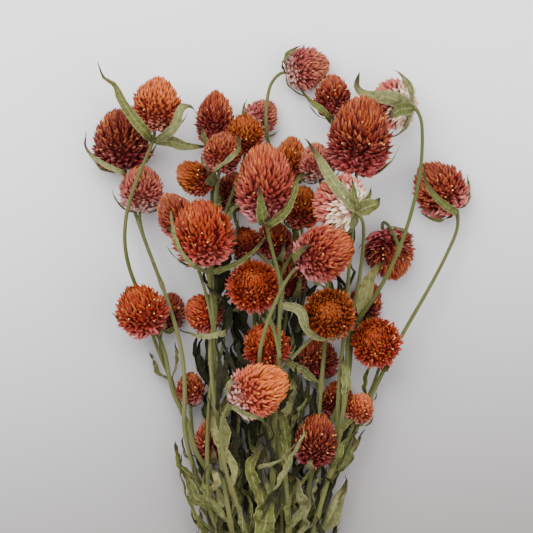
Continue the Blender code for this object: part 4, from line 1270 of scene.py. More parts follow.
@dataclass(frozen=True)
class BractFinish:
    """Thin papery bracts that change colour up the head, paler at their edges and tips, mottled, with painted
    shade low on each bract where the bracts overlap, and a painted highlight on some bracts at random.
    """

    tone: Tone
    gap_shade_and_mottle: Colour = tint(150, 56, 34)
    straw: Colour = tint(236, 146, 66)
    rose: Colour = tint(222, 146, 136)
    roughness: float = 0.50

    def material(self) -> bpy.types.Material:
        """The bracts' material."""
        graph = Graph(f"bracts_{self.tone.name.lower()}", self.roughness, Specular_IOR_Level=0.42)
        colours = self.tone.value
        along, across, chance, height = (graph.attribute(name) for name in LAYERS)
        level = height + (chance - 0.5) * 0.22
        low = graph.rise(level, 0.08, 0.36)
        high = graph.rise(level, colours.crown_from, colours.crown_from + 0.30)
        colour = graph.mix(high, graph.mix(low, colours.base, colours.middle), colours.crown)
        fibres = graph.noise(graph.vector(across * 9.0, along * 1.6, chance * 60.0), 1.6, 3.0)
        colour = graph.shade(graph.rise(fibres, 0.45, 0.75) * 0.35, colour, self.gap_shade_and_mottle)
        # Painted shade: each bract darkens towards its root, where it hides under the bracts above it.
        colour = graph.shade((1.0 - graph.rise(along, 0.30, 0.70)) * 0.75, colour, self.gap_shade_and_mottle)
        pale = graph.mix(graph.rise(height, 0.25, 0.62), self.rose, self.straw)
        edge = graph.rise(abs(across), 0.50, 1.0) * graph.rise(along, 0.45, 0.85)
        colour = graph.mix(edge * (0.14 + chance * 0.40), colour, pale)
        colour = graph.mix(graph.rise(along, 0.76, 0.98) * 0.30, colour, pale)
        # Painted highlight: some bracts, chosen at random, are paler from their middle to their tip.
        colour = graph.mix(graph.rise(chance, 0.74, 1.0) * graph.rise(along, 0.3, 0.7) * 0.28, colour, pale)
        colour = graph.shade((1.0 - graph.rise(chance, 0.0, 0.35)) * 0.45, colour, self.gap_shade_and_mottle)
        roughness = self.roughness + fibres * 0.16
        return graph.dress(colour, roughness, fibres, 0.00012)


@dataclass(frozen=True)
class CoreFinish:
    """The soft, rough inside of a head between its bracts, of their colours, mottled, and darkened by painted
    shade of the gaps between the bracts, least at the crown.
    """

    tone: Tone
    gap_shade_and_mottle: Colour = tint(150, 50, 26)
    roughness: float = 0.85

    def material(self) -> bpy.types.Material:
        """The core's material."""
        graph = Graph(f"core_{self.tone.name.lower()}", self.roughness)
        grain = graph.noise(graph.place(), 1300.0, 4.0)
        height = graph.attribute("height") + (grain - 0.5) * 0.08
        colour = graph.mix(graph.rise(height, 0.05, 0.30), self.tone.value.base, self.tone.value.middle)
        colour = graph.mix(graph.rise(height, 0.88, 0.99), colour, self.tone.value.crown)
        # Painted shade of the gaps between the bracts: the core is darkened throughout, mottled by its grain
        # and least at the crown.
        dark = graph.rise(grain, 0.40, 0.62) * 0.30 + 0.60 - graph.rise(height, 0.88, 0.99) * 0.4
        colour = graph.shade(dark, colour, self.gap_shade_and_mottle)
        return graph.dress(colour, self.roughness + grain * 0.1, grain, 0.0006)


@dataclass(frozen=True)
class LeafFinish:
    """A dried grey-green blade with pale veins, brown edges and a dark tip; its pale rim is partly painted
    highlight, and it carries painted shade in its creases and from the depth of the bunch.
    """

    fresh: Colour = tint(94, 98, 42)
    grey: Colour = tint(124, 123, 78)
    olive: Colour = tint(58, 60, 22)
    straw: Colour = tint(158, 146, 84)
    vein: Colour = tint(156, 155, 104)
    pale_rim_and_highlight: Colour = tint(214, 210, 156)
    dusk: Colour = tint(48, 42, 18)
    brown: Colour = tint(80, 66, 34)
    char: Colour = tint(36, 30, 18)
    roughness: float = 0.74
    side_veins: float = 9.0

    def material(self) -> bpy.types.Material:
        """The leaves' material."""
        graph = Graph("dried_leaf", self.roughness, Specular_IOR_Level=0.25)
        along, across, chance, gloom = (graph.attribute(name) for name in LAYERS)
        broad = graph.noise(graph.place(), 130.0, 3.0)
        fine = graph.noise(graph.place(), 900.0, 4.0)
        crumple = graph.noise(graph.place(), 520.0, 3.0)
        colour = graph.mix(graph.rise(chance + (broad - 0.5) * 0.9, 0.2, 0.8), self.fresh, self.grey)
        colour = graph.mix(graph.rise(broad, 0.45, 0.70) * 0.40, colour, self.olive)
        colour = graph.mix(graph.rise(chance, 0.88, 1.0) * 0.5, colour, self.straw)
        wide = abs(across)
        midrib = 1.0 - graph.rise(wide, 0.03, 0.16)
        saw = (along * self.side_veins - wide * 0.9).wave()
        veins = graph.rise(saw, 0.80, 1.0) * (1.0 - wide) * 0.8
        colour = graph.mix(midrib * 0.55 + veins * 0.40, colour, self.vein)
        # Paler edges: partly the blade's own pale margin, partly a painted highlight where curled edges catch
        # the light.
        edge = graph.rise(wide + (fine - 0.5) * 0.5, 0.80, 1.02)
        colour = graph.mix(edge * 0.28, colour, self.pale_rim_and_highlight)
        tip = along + (broad - 0.5) * 0.35
        colour = graph.mix(graph.rise(tip, 0.66, 0.86) * 0.75, colour, self.brown)
        colour = graph.mix(graph.rise(tip, 0.80, 0.96) * 0.85, colour, self.char)
        colour = graph.shade(graph.rise(fine, 0.5, 0.8) * 0.35, colour, self.olive)
        # Painted shade in the creases: darker where the crumple that also makes the bump is low.
        colour = graph.shade((1.0 - graph.rise(crumple, 0.25, 0.60)) * 0.50, colour, self.olive)
        # Painted shade of the bunch's depth, read from the height layer.
        colour = graph.shade(gloom * 0.90, colour, self.dusk)
        height = midrib * 0.7 + veins * 0.6 + fine * 0.8 + broad * 0.8 + crumple * 3.0
        return graph.dress(colour, self.roughness + fine * 0.14, height, 0.00028)


@dataclass(frozen=True)
class StemFinish:
    """An olive stem with fine ridges, mottled, and browner at its swollen nodes."""

    green: Colour = tint(90, 96, 42)
    pale: Colour = tint(122, 122, 72)
    dark: Colour = tint(58, 58, 28)
    node: Colour = tint(104, 84, 46)
    roughness: float = 0.66
    ridges: float = 8.0

    def material(self) -> bpy.types.Material:
        """The stems' material."""
        graph = Graph("dried_stem", self.roughness, Specular_IOR_Level=0.30)
        along, across, chance, height = (graph.attribute(name) for name in LAYERS)
        ridge = (across * self.ridges).wave()
        streaks = graph.noise(graph.vector(across * 14.0, along * 30.0, chance * 40.0), 1.0, 3.0)
        specks = graph.noise(graph.place(), 1500.0, 2.0)
        colour = graph.mix(graph.rise(streaks + (chance - 0.5) * 0.3, 0.35, 0.7), self.green, self.pale)
        colour = graph.mix((1.0 - ridge) * 0.45, colour, self.dark)
        colour = graph.mix(graph.rise(specks, 0.62, 0.74) * 0.5, colour, self.dark)
        colour = graph.mix(height * 0.30, colour, self.node)
        return graph.dress(colour, self.roughness + streaks * 0.12, ridge + streaks * 0.6, 0.00012)


@dataclass(frozen=True)
class PlainFinish:
    """A small surface of nearly one colour, mottled: a floret or a cut end."""

    name: str
    light: Colour
    dark: Colour
    scale: float
    roughness: float = 0.8

    def material(self) -> bpy.types.Material:
        """The surface's material."""
        graph = Graph(self.name, self.roughness)
        grain = graph.noise(graph.place(), self.scale, 3.0)
        colour = graph.mix(graph.rise(grain, 0.35, 0.65), self.dark, self.light)
        return graph.dress(colour, self.roughness + grain * 0.1, grain, 0.0001)


@dataclass(frozen=True)
class TwineFinish:
    """Tan plant fibre, spun into plies."""

    light: Colour = tint(206, 178, 130)
    dark: Colour = tint(140, 108, 66)
    roughness: float = 0.86

    def material(self) -> bpy.types.Material:
        """The twine's material."""
        graph = Graph("twine_fibre", self.roughness, Sheen_Weight=0.3)
        along, across, chance, _ = (graph.attribute(name) for name in LAYERS)
        fibres = graph.noise(graph.vector(across * 26.0, along * 60.0, chance * 30.0), 1.0, 4.0)
        colour = graph.mix(graph.rise(fibres, 0.3, 0.7), self.dark, self.light)
        return graph.dress(colour, self.roughness + fibres * 0.1, fibres, 0.00018)


FLORET = PlainFinish("floret_cream", tint(232, 170, 104), tint(206, 128, 66), 1200.0, 0.7)
PITH = PlainFinish("cut_pith", tint(206, 192, 150), tint(160, 140, 96), 1400.0, 0.85)
HAIR = PlainFinish("stem_hair", tint(214, 212, 190), tint(176, 176, 140), 2000.0, 0.6)


@cache
def material_of(finish: object) -> bpy.types.Material:
    """The material of a finish, which is made the first time and handed out again."""
    return finish.material()


def verts_of(geometry: list) -> list[bmesh.types.BMVert]:
    """The vertices among the geometry of a shape."""
    return [element for element in geometry if isinstance(element, bmesh.types.BMVert)]


class Piece:
    """A mesh in the making, with the number layers that its materials read."""

    def __init__(self, finishes: list) -> None:
        """Starts an empty mesh.

        Args:
            finishes: The finishes of its faces, in the order of their material numbers.
        """
        self.bm = bmesh.new()
        self.finishes = finishes
        self.layers = {name: self.bm.verts.layers.float.new(name) for name in LAYERS}

    def mark(self, vert: bmesh.types.BMVert, **numbers: float) -> None:
        """Writes numbers to a vertex's layers."""
        for name, number in numbers.items():
            vert[self.layers[name]] = number

    def grid(self, across: int, along: int) -> list[tuple[bmesh.types.BMVert, float, float]]:
        """Adds a flat grid to be shaped.

        Args:
            across: Faces from side to side.
            along: Faces from end to end.

        Returns:
            Each vertex with its share of the way across and along.
        """
        made = bmesh.ops.create_grid(self.bm, x_segments=across, y_segments=along, size=0.5)
        return [(vert, vert.co.x + 0.5, vert.co.y + 0.5) for vert in made["verts"]]

    def paint(self, verts: list, finish: object) -> None:
        """Gives the faces of some vertices one of the piece's finishes."""
        for face in {face for vert in verts for face in vert.link_faces}:
            face.material_index = self.finishes.index(finish)

    def tube(
        self, path: list[Vector], radii: list[float], sides: int, ridge: float = 0.0, lobes: int = 0
    ) -> list[bmesh.types.BMVert]:
        """Wraps a grid round a path, welds its seam and closes its ends.

        Args:
            path: The centreline, with a row of vertices at each point.
            radii: The radius at each point.
            sides: Faces round it.
            ridge: Height of its ridges, as a share of the radius.
            lobes: Number of ridges.

        Returns:
            The vertices.
        """
        out = Vector((0, 0, 1))
        frames = []
        for i, point in enumerate(path):
            along = heading(path, i)
            out = (out - along * out.dot(along)).normalized()
            frames.append((point, out.copy(), along.cross(out)))
        cells = self.grid(sides, len(path) - 1)
        for vert, around, share in cells:
            row = round(share * (len(path) - 1))
            point, up, side = frames[row]
            angle = around * math.tau
            radius = radii[row] * (1 + ridge * math.cos(lobes * angle))
            vert.co = point + (up * math.cos(angle) + side * math.sin(angle)) * radius
            self.mark(vert, along=share, across=abs(around - 0.5) * 2)
        verts = [vert for vert, _, _ in cells]
        bmesh.ops.remove_doubles(self.bm, verts=verts, dist=1e-6)
        verts = [vert for vert in verts if vert.is_valid]
        rims = {edge for vert in verts for edge in vert.link_edges if edge.is_boundary}
        bmesh.ops.holes_fill(self.bm, edges=list(rims), sides=sides)
        return verts

    def welded(self, verts: list) -> list:
        """Welds the vertices of a shape that meet, turns its faces outwards and returns all its geometry."""
        bmesh.ops.remove_doubles(self.bm, verts=verts, dist=1e-4)
        verts = [vert for vert in verts if vert.is_valid]
        faces = list({face for vert in verts for face in vert.link_faces})
        edges = list({edge for vert in verts for edge in vert.link_edges})
        bmesh.ops.recalc_face_normals(self.bm, faces=faces)
        return verts + edges + faces

    def copy_of(self, template: list, matrix: Matrix) -> list:
        """Adds a copy of a template, moved by a matrix, and returns its vertices."""
        verts = verts_of(bmesh.ops.duplicate(self.bm, geom=template)["geom"])
        bmesh.ops.transform(self.bm, matrix=matrix, verts=verts)
        return verts

    def drop(self, template: list) -> None:
        """Takes a template out of the mesh."""
        bmesh.ops.delete(self.bm, geom=verts_of(template), context="VERTS")

    def pour(self, tray: "Piece") -> None:
        """Takes in the mesh of a small piece with the same finishes, which was quicker to fill by itself."""
        mesh = bpy.data.meshes.new("tray")
        tray.bm.to_mesh(mesh)
        tray.bm.free()
        self.bm.from_mesh(mesh)
        bpy.data.meshes.remove(mesh)
        self.layers = {name: self.bm.verts.layers.float[name] for name in LAYERS}

    def lay_down(self, soft: float = 0.0016) -> None:
        """Presses what would sink into the table up against it."""
        for vert in self.bm.verts:
            if vert.co.z < soft:
                vert.co.z = soft * math.exp((vert.co.z - soft) / soft)

    def finish(self, name: str, replaced: str, crease: float = 50.0) -> bpy.types.Object:
        """Turns the mesh into a dressed object that stands for a node of the frame.

        Args:
            name: The piece's name.
            replaced: The node that it stands for.
            crease: Degrees between faces past which an edge stays sharp.

        Returns:
            The object.
        """
        bmesh.ops.translate(self.bm, vec=SHIFT, verts=self.bm.verts)
        bmesh.ops.recalc_face_normals(self.bm, faces=self.bm.faces)
        mesh = bpy.data.meshes.new(name)
        self.bm.to_mesh(mesh)
        self.bm.free()
        for finish in self.finishes:
            mesh.materials.append(material_of(finish))
        mesh.shade_smooth()
        mesh.set_sharp_from_angle(angle=math.radians(crease))
        obj = linked(name, mesh)
        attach(obj, "root")
        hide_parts(replaced)
        return obj


@dataclass
class Head:
    """A bristly head: pointed papery bracts in a spiral on a core, with florets peeping out.

    Attributes:
        core: Size of the core at its base, middle and crown, as shares of the head over its bract tips.
        usual_width: Width of a head whose bracts have the spacing and the width given here.
        lifts: Angle that the bracts climb up the head from root to tip, at the same three heights.
        crowding: How much closer the bracts stand towards the crown.
        shoulder: Power of the head's outline, and how much more pointed it is at the crown.
        flare: Height of the loose skirt, as a share of the head, and how far it spreads from there.
        floret_band: Between which heights, as shares of the head, florets peep out.
        bract_shapes: Bulge, outward curve, breadth, keel and sideways sway of each kind of bract.
    """

    bloom: Bloom
    core: tuple[float, float, float] = (0.92, 0.71, 0.84)
    usual_width: float = 0.024
    bract_spacing: float = 0.00192
    bract_width: float = 0.00255
    lifts: tuple[float, ...] = tuple(math.radians(angle) for angle in (28, 16, 15))
    crowding: float = 1.55
    shoulder: tuple[float, float] = (0.85, 0.27)
    flare: tuple[float, float] = (0.28, 0.17)
    floret_band: tuple[float, float] = (0.35, 0.78)
    floret_width: float = 0.0018
    bract_shapes: tuple = (
        (0.14, 0.05, 1.00, 0.40, 0.00),
        (0.20, -0.10, 0.78, 0.52, 0.20),
        (0.05, 0.38, 0.90, 0.46, -0.22),
        (0.16, 0.18, 1.12, 0.34, 0.10),
    )
    tray_size: int = 48
    turn: Matrix = field(init=False)

    def __post_init__(self) -> None:
        """Works out how the head is turned."""
        self.turn = self.bloom.axis().to_track_quat("Z", "Y").to_matrix()

    def place(self, polar: float, azimuth: float, scale: float) -> Vector:
        """A point in or on the head.

        Args:
            polar: Angle from the base, round the middle, to the crown.
            azimuth: Angle round the axis.
            scale: 1 at the bract tips and 0 on the axis.

        Returns:
            The point in the plan.
        """
        bloom = self.bloom
        swell = 1 + SIZES.base_swell * math.cos(polar)
        power = self.shoulder[0] + self.shoulder[1] * eased(polar, 1.45, 2.30)
        radius = bloom.width / 2 * max(math.sin(polar), 0.0) ** power * swell * scale
        height = -math.cos(polar) * bloom.length / 2 * scale
        point = Vector((radius * math.cos(azimuth), radius * math.sin(azimuth), height))
        return bloom.centre() + self.turn @ point

    def core_scale(self, polar: float) -> float:
        """Size of the core at a polar angle, as a share of the head over its bract tips."""
        low = eased(polar, math.radians(12), math.radians(58))
        high = eased(polar, math.radians(115), math.radians(172))
        return staged(self.core, low, high)

    def bract_template(
        self, piece: Piece, bulge: float, curve: float, breadth: float, keel: float, sway: float
    ) -> list:
        """Folds a closed, keeled bract along +Z, one unit long and wide.

        Args:
            piece: The mesh to add it to.
            bulge: How far its middle stands out.
            curve: How far its tip bends outwards.
            breadth: Its share of the full width.
            keel: Depth of its fold.
            sway: How far its tip leans to one side.

        Returns:
            Its geometry.
        """
        cells = piece.grid(3, 4)
        section = [(-0.5, -0.06), (0.0, keel), (0.5, -0.06), (-0.5, -0.06)]
        rows = [(0.0, 0.40, 0.3), (0.28, 1.16, 0.75), (0.50, 0.92, 1.0), (0.74, 0.44, 0.66), (1.0, 0.0, 0.0)]
        for vert, around, share in cells:
            across, stand = section[round(around * 3)]
            along, wide, deep = rows[round(share * 4)]
            bend = 4 * bulge * along * (1 - along) + curve * along * along
            vert.co = Vector((across * wide * breadth + sway * along * along, stand * deep + bend, along))
            piece.mark(vert, along=along, across=across * 2)
        return piece.welded([vert for vert, _, _ in cells])

    def floret_template(self, piece: Piece) -> list:
        """A small floret one unit long: a narrow tube whose mouth opens into five pointed lobes."""
        made = bmesh.ops.create_cone(
            piece.bm, cap_ends=True, segments=10, radius1=0.05, radius2=0.22, depth=1.0
        )
        for vert in made["verts"]:
            if vert.co.z > 0:
                lobe = round(math.atan2(vert.co.y, vert.co.x) / math.tau * 10) % 2
                vert.co = vert.co * Vector((1.5, 1.5, 1.0)) if lobe else vert.co * Vector((0.6, 0.6, 0.84))
        piece.paint(made["verts"], FLORET)
        return piece.welded(made["verts"])

    def add_core(self, piece: Piece) -> None:
        """The soft core that the bracts stand on."""
        made = bmesh.ops.create_uvsphere(piece.bm, u_segments=24, v_segments=16, radius=1.0)
        for vert in made["verts"]:
            polar = math.acos(max(-1.0, min(1.0, -vert.co.z)))
            azimuth = math.atan2(vert.co.y, vert.co.x)
            vert.co = self.place(polar, azimuth, self.core_scale(polar))
            piece.mark(vert, height=(1 - math.cos(polar)) / 2)
        piece.paint(made["verts"], CoreFinish(self.bloom.tone))

    def stand(self, root: Vector, tip: Vector, width: float, spin: float) -> Matrix:
        """The matrix that stands a bract on its root, its keel outwards but for a spin about itself."""
        facing = Matrix.Rotation(spin, 3, tip - root) @ (root - self.bloom.centre())
        return upright(root, tip - root, width, facing)

    def add_bract(
        self, tray: Piece, template: list, floret: list, number: int, share: float, size: float,
        waves: list[float], draw: random.Random,
    ) -> None:
        """Stands one bract in its place in the spiral, now and then with a floret beside it.

        Args:
            tray: The mesh to add it to.
            template: The bract's shape.
            floret: The floret's shape.
            number: Its number from the base up.
            share: Its place in the spiral from 0 to 1.
            size: How large this head's bracts are.
            waves: The phases of the head's unevenness.
            draw: The head's seeded draw.
        """
        level = 1 - (1 - share) ** self.crowding
        polar = math.acos(max(-1.0, 0.90 - 1.9 * level))
        lift = staged(self.lifts, eased(level, 0.02, 0.30), eased(level, 0.75, 1.0))
        lift *= draw.uniform(0.85, 1.15)
        azimuth = number * GOLDEN_TURN + draw.uniform(-0.12, 0.12)
        splay = math.sin(3 * azimuth + waves[0]) * math.sin(2 * azimuth + 5 * polar + waves[1])
        flare = math.exp(-(((level - self.flare[0]) / self.flare[1]) ** 2))
        flare *= self.bloom.tone.value.skirt * (0.6 + 1.1 * splay)
        reach = draw.uniform(0.91, 1.10) + flare
        low = max(polar - lift, 0.03)
        root = self.place(low, azimuth, self.core_scale(low) - 0.03)
        tip = self.place(polar, azimuth + draw.uniform(-0.09, 0.09), reach)
        width = self.bract_width * size * draw.uniform(0.80, 1.15) * (1.22 - 0.42 * level)
        width *= max(1 - share, 0.02) ** 0.08
        chance = draw.random()
        for vert in tray.copy_of(template, self.stand(root, tip, width, draw.uniform(-0.6, 0.6))):
            tray.mark(vert, chance=chance, height=level)
        low, high = self.floret_band
        if low < level < high and draw.random() < self.bloom.tone.value.flecks * 1.9:
            inner = self.place(polar - 0.04, azimuth + 0.11, 0.86)
            out = self.place(polar, azimuth + 0.11, draw.uniform(0.98, 1.03))
            stood = self.stand(inner, out, self.floret_width, 0.0)
            tray.copy_of(floret, stood @ Matrix.Translation((0, 0, 0.5)))

    def build(self) -> bpy.types.Object:
        """Builds and dresses the head, and returns its piece."""
        bloom = self.bloom
        draw = random.Random(bloom.name)
        finishes = [BractFinish(bloom.tone), FLORET, CoreFinish(bloom.tone)]
        piece = Piece(finishes)
        self.add_core(piece)
        size = min(max((bloom.width / self.usual_width) ** 0.5, 0.82), 1.12)
        area = math.pi * bloom.width * (bloom.width + 2 * bloom.length) / 3
        count = round(area / (self.bract_spacing * size) ** 2)
        waves = [draw.uniform(0, math.tau) for _ in range(2)]
        for first in range(0, count, self.tray_size):
            tray = Piece(finishes)
            templates = [self.bract_template(tray, *shape) for shape in self.bract_shapes]
            floret = self.floret_template(tray)
            for i in range(first, min(first + self.tray_size, count)):
                share = (i + 0.5) / count
                self.add_bract(tray, draw.choice(templates), floret, i, share, size, waves, draw)
            for template in (*templates, floret):
                tray.drop(template)
            piece.pour(tray)
        piece.lay_down()
        return piece.finish(f"{bloom.name}_bracts", bloom.name)


@dataclass
class LeafyStem:
    """A stem with its branches, its swollen nodes and its crumpled leaves."""

    name: str
    strands: list[Strand]
    leaves: list[Leaf]
    row_step: float = 0.0022
    sides: int = 10
    roundness: float = 0.917
    swelling: float = 0.40
    swelling_reach: float = 0.0022
    blade_thickness: float = 0.00030
    head_reach: float = 0.0030
    least_half_width: float = 0.00026
    petiole_half_width: float = 0.00040
    crumple: float = 0.0012
    wrinkle: float = 0.0005
    hairs: int = 80
    hair_width: float = 0.00013

    def add_strand(self, piece: Piece, strand: Strand, chance: float) -> None:
        """Adds the ridged tube of a stem or branch.

        Args:
            piece: The mesh to add it to.
            strand: The centreline.
            chance: The strand's own share for its colours.
        """
        points = eased_bends(strand.points)
        points.append(points[-1] + strand.bloom.axis() * self.head_reach)
        count = max(8, round(path_length(points) / self.row_step))
        path = evenly(smooth_route(points, self.row_step * 0.5), count)
        last = len(strand.points) - 1
        knots = [strand.points[i] for i in strand.nodes]
        radii, swells = [], []
        for i, point in enumerate(path):
            share = min(i / (count - 1) * len(strand.points) / last, 1.0)
            away = min(((point - knot).length for knot in knots), default=math.inf)
            swell = math.exp(-((away / self.swelling_reach) ** 2))
            radii.append(strand.radius(share * last) * self.roundness * (1 + self.swelling * swell))
            swells.append(swell)
        verts = piece.tube(path, radii, self.sides, 0.05, 5)
        for vert in verts:
            row = round(vert[piece.layers["along"]] * (count - 1))
            piece.mark(vert, chance=chance, height=swells[row])
        piece.paint(verts, StemFinish())
        self.add_hairs(piece, path, radii, chance)
        if strand.parent is None:
            for face in {f for v in verts for f in v.link_faces if len(f.verts) == self.sides}:
                face.material_index = piece.finishes.index(PITH)

    def add_hairs(self, piece: Piece, path: list[Vector], radii: list[float], chance: float) -> None:
        """Stands short white hairs on a strand, the closest together under its head.

        Args:
            piece: The mesh to add them to.
            path: The strand's centreline.
            radii: Its radius at each point.
            chance: The share that seeds their places.
        """
        draw = random.Random(chance)
        tray = Piece(piece.finishes)
        made = bmesh.ops.create_cone(tray.bm, cap_ends=True, segments=3, radius1=0.5, radius2=0.0, depth=1.0)
        tray.paint(made["verts"], HAIR)
        hair = tray.welded(made["verts"])
        for _ in range(self.hairs):
            i = round((1 - draw.random() ** 2 * 0.7) * (len(path) - 4))
            along = (path[i + 1] - path[i]).normalized()
            out = Matrix.Rotation(draw.uniform(0, math.tau), 3, along) @ along.orthogonal().normalized()
            run = (out + along * draw.uniform(0.1, 1.2)).normalized() * draw.uniform(0.0006, 0.0013)
            root = path[i].lerp(path[i + 1], draw.random()) + out * radii[i] * 0.95
            tray.copy_of(hair, upright(root, run, self.hair_width, along) @ Matrix.Translation((0, 0, 0.5)))
        tray.drop(hair)
        piece.pour(tray)

    def add_leaf(self, piece: Piece, leaf: Leaf, draw: random.Random) -> None:
        """Adds a crumpled blade with real thickness.

        Args:
            piece: The mesh to add it to.
            leaf: The leaf.
            draw: The seeded draw of its waves.
        """
        calm = 1.0 if leaf.outline is Outline.LEAF else 0.4
        across, along = leaf.faces
        path = smooth_route(leaf.path, 0.0008)
        fine = Leaf(path, leaf.half_width, leaf.roll, leaf.twist, leaf.outline)
        rows = fine.stations(along + 1)
        phases = [draw.uniform(0, math.tau) for _ in range(4)]
        curl = draw.uniform(0.5, leaf.curl) * draw.choice((-1, 1, 1))
        ruffle = draw.uniform(0.05, 0.22) * (0.4 + 0.6 * calm)
        chance = draw.random()
        cells = piece.grid(across, along)
        for vert, u, t in cells:
            point, side, normal, half = rows[round(t * along)]
            w = 2 * u - 1
            half = max(half, self.petiole_half_width * (1 - t) + self.least_half_width)
            bites = 0.12 * math.sin(17 * t + phases[0] + 2 * w) + 0.07 * math.sin(41 * t + phases[1])
            nick = 1 + calm * bites
            turn = curl * (0.4 + 0.6 * t)
            sway, flutter = math.sin(9 * t + phases[2]), math.sin(21 * t + phases[3] + 1.2 * w)
            wave = ruffle * (w * sway + abs(w) * flutter)
            offset = (1 - math.cos(turn * w)) / turn - turn / 7 + wave
            vert.co = point + side * (math.sin(turn * w) / turn * half * nick) + normal * (offset * half)
            rough = noise.noise_vector(vert.co * 170) * self.crumple
            rough += noise.noise_vector(vert.co * 450) * self.wrinkle
            vert.co += rough * min(5 * t, calm)
            # A leaf's height layer carries its painted depth shade.
            piece.mark(vert, along=t, across=w, chance=chance, height=leaf.gloom)
        faces = list({face for vert, _, _ in cells for face in vert.link_faces})
        piece.paint([vert for vert, _, _ in cells], LeafFinish())
        bmesh.ops.solidify(piece.bm, geom=faces, thickness=self.blade_thickness)

    def build(self) -> bpy.types.Object:
        """Builds and dresses the stem, and returns its piece."""
        draw = random.Random(self.name)
        piece = Piece([StemFinish(), LeafFinish(), PITH, HAIR])
        for strand in self.strands:
            self.add_strand(piece, strand, draw.random())
        for leaf in self.leaves:
            self.add_leaf(piece, leaf, draw)
        piece.lay_down(0.0008)
        return piece.finish(f"{self.name}_fine", self.name)


@dataclass
class Tie:
    """Turns of two-ply twine round the stems, with a knot and two cut tails."""

    ply_sides: int = 6
    lay: float = 0.0046
    step: float = 0.0006

    def loop_point(self, turns: float) -> Vector:
        """A point of the winding after that many turns, from its lower end."""
        half_height = SIZES.row_pitch + SIZES.half_side + SIZES.tie_gap + SIZES.twine_radius
        straight = SIZES.slot_pitch * (SIZES.slot_columns - 0.5) / 2 + SIZES.half_side - half_height * 0.3
        angle = math.tau * turns + math.pi / 2
        reach = abs(math.cos(angle)) ** 0.35
        x = math.copysign(reach * straight, math.cos(angle)) + half_height * math.cos(angle)
        z = SIZES.tie_middle + half_height * math.sin(angle)
        width = SIZES.tie_turns * 2 * SIZES.twine_radius
        low = SIZES.tie_y - width / 2 + SIZES.twine_radius
        y = low + (turns / SIZES.tie_turns) * (width - 2 * SIZES.twine_radius)
        return Vector((x, y, z))

    def add_twine(self, piece: Piece, way: list[Vector], fray: bool = False) -> None:
        """Lays two plies round each other along a way.

        Args:
            piece: The mesh to add them to.
            way: The points that the twine follows.
            fray: True if its end opens into a small brush.
        """
        path = smooth_route(way, self.step)
        for ply in (0, 1):
            middle, radii, out = [], [], Vector((0.13, 0.21, 0.97))
            for i, point in enumerate(path):
                along = heading(path, i)
                out = (out - along * out.dot(along)).normalized()
                angle = math.tau * i * self.step / self.lay + ply * math.pi
                share = i / (len(path) - 1) if fray else 0.0
                spread = 1 + 2.2 * max(0.0, share - 0.88) / 0.12
                shift = out * math.cos(angle) + along.cross(out) * math.sin(angle)
                middle.append(point + shift * SIZES.twine_radius * 0.46 * spread)
                radii.append(SIZES.twine_radius * 0.56 * (1 - 0.75 * max(0.0, share - 0.85) / 0.15))
            for vert in piece.tube(middle, radii, self.ply_sides):
                piece.mark(vert, chance=0.3 + 0.4 * ply)

    def build(self) -> bpy.types.Object:
        """Builds and dresses the tie, and returns its piece."""
        piece = Piece([TwineFinish()])
        steps = 24 * SIZES.tie_turns
        self.add_twine(piece, [self.loop_point(SIZES.tie_turns * i / steps) for i in range(steps + 1)])
        top = SIZES.tie_middle + SIZES.row_pitch + SIZES.half_side + SIZES.tie_gap
        knot = Vector((0.003, SIZES.tie_y, top + 2.2 * SIZES.twine_radius))
        size = SIZES.twine_radius * 1.7
        crossing = []
        for angle in (math.tau * k / 12 for k in range(19)):
            x, y, z = math.sin(2 * angle) * size, math.cos(angle) * size, math.sin(angle) * size
            crossing.append(knot + Vector((x * 0.9, y * 1.5, z * 0.5)))
        self.add_twine(piece, crossing)
        for side in (-1, 1):
            bends = ((0.0, 0.0, 0.0), (0.20, -0.20, 0.05), (0.35, -0.45, 0.05), (0.45, -0.95, 0.02))
            tail = [knot + Vector((side * x, y, z)) * SIZES.tail_length for x, y, z in bends]
            self.add_twine(piece, tail, fray=True)
        piece.lay_down(0.0004)
        return piece.finish("tie_twine", "tie", 60.0)


@dataclass(frozen=True)
class SoftLight:
    """A large square area light: its place in plan from the middle of the view, height, side and watts."""

    name: str
    x: float
    y: float
    height: float
    side: float
    power: float

    def hang(self, centre: Vector) -> None:
        """Hangs the light so that it faces the middle of the view."""
        data = bpy.data.lights.new(self.name, "AREA")
        data.size = self.side
        data.energy = self.power
        light = linked(self.name, data)
        light.location = (centre.x + self.x, centre.y + self.y, self.height)
        light.rotation_mode = "QUATERNION"
        light.rotation_quaternion = (centre - light.location).to_track_quat("-Z", "Y")


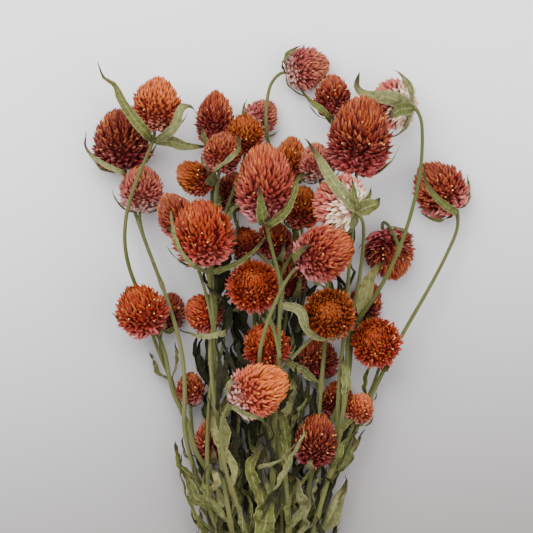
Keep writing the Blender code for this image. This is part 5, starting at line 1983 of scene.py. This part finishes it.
@dataclass(frozen=True)
class Studio:
    """A pale floor, soft light from the upper left and the camera straight above."""

    photo_pixels: int = 533
    metres_per_pixel: float = 0.0005
    photo_centre: tuple[float, float, float] = (-0.00025, 0.13325, 0.030)
    camera_distance: float = 2.4
    floor_size: float = 3.0
    floor_painted_lit_end: Colour = tint(250, 250, 250)
    floor_painted_shade_end: Colour = tint(139, 134, 131)
    room_tint: Colour = tint(250, 250, 255)
    room_light: float = 1.04
    lights: tuple[SoftLight, ...] = (
        SoftLight("key", -0.30, 0.60, 1.2, 1.1, 25.0),
        SoftLight("fill", 0.8, -0.1, 1.1, 1.2, 10.0),
    )

    def floor(self) -> None:
        """A large pale floor with a painted falloff of light: a little darker towards the near edge and
        towards the right.
        """
        mesh, half = bpy.data.meshes.new("floor"), self.floor_size / 2
        corners = [(-half, -half, 0.0), (half, -half, 0.0), (half, half, 0.0), (-half, half, 0.0)]
        mesh.from_pydata(corners, [], [(0, 1, 2, 3)])
        graph = Graph("pale_floor", 0.9)
        x, y = (graph.node("ShaderNodeSeparateXYZ", {}, {0: graph.place()}, name) for name in "XY")
        grain = graph.noise(graph.place(), 300.0, 2.0)
        # Painted falloff of light across the floor, from its lit end to its shaded end.
        colour = graph.mix(graph.rise(y - x * 0.16, -0.12, 0.24), self.floor_painted_shade_end, self.floor_painted_lit_end)
        mesh.materials.append(graph.dress(colour, 0.9, grain, 0.00002))
        linked("floor", mesh)

    def build(self) -> None:
        """Sets up the floor, the light and the camera."""
        self.floor()
        world = bpy.data.worlds.new("soft_room")
        world.use_nodes = True
        background = world.node_tree.nodes["Background"]
        background.inputs["Color"].default_value = self.room_tint
        background.inputs["Strength"].default_value = self.room_light
        bpy.context.scene.world = world
        centre = Vector(self.photo_centre) + SHIFT
        for light in self.lights:
            light.hang(centre)
        data = bpy.data.cameras.new("camera")
        data.sensor_width = 36.0
        data.lens = data.sensor_width * self.camera_distance / (self.photo_pixels * self.metres_per_pixel)
        data.clip_end = 10.0
        camera = linked("camera", data)
        camera.location = centre + Vector((0, 0, self.camera_distance))
        bpy.context.scene.camera = camera


def main() -> None:
    """Builds every piece round the frame, and the studio."""
    logging.basicConfig(level=logging.INFO, format="%(relativeCreated)6d ms  %(message)s")
    noise.seed_set(SEED)
    skeleton = Skeleton()
    foliage = Foliage(skeleton.strands)
    for strand in skeleton.strands:
        if strand.parent is not None:
            strand.parent.nodes.add(strand.joint())
    pieces = [Head(bloom).build() for bloom in BLOOMS]
    for group, stem in enumerate(STEMS):
        strands = [strand for strand in skeleton.strands if strand.group == group]
        leaves = foliage.leaves.get(group, [])
        pieces.append(LeafyStem(stem.name, strands, leaves).build())
        log.info("%s: %d leaves", stem.name, len(leaves))
    pieces.append(Tie().build())
    counts = {piece.name: sum(len(f.vertices) - 2 for f in piece.data.polygons) for piece in pieces}
    for name, count in counts.items():
        log.info("%s: %d triangles", name, count)
    log.info("%d pieces, %d triangles in all", len(counts), sum(counts.values()))
    Studio().build()


if __name__ == "__main__":
    main()
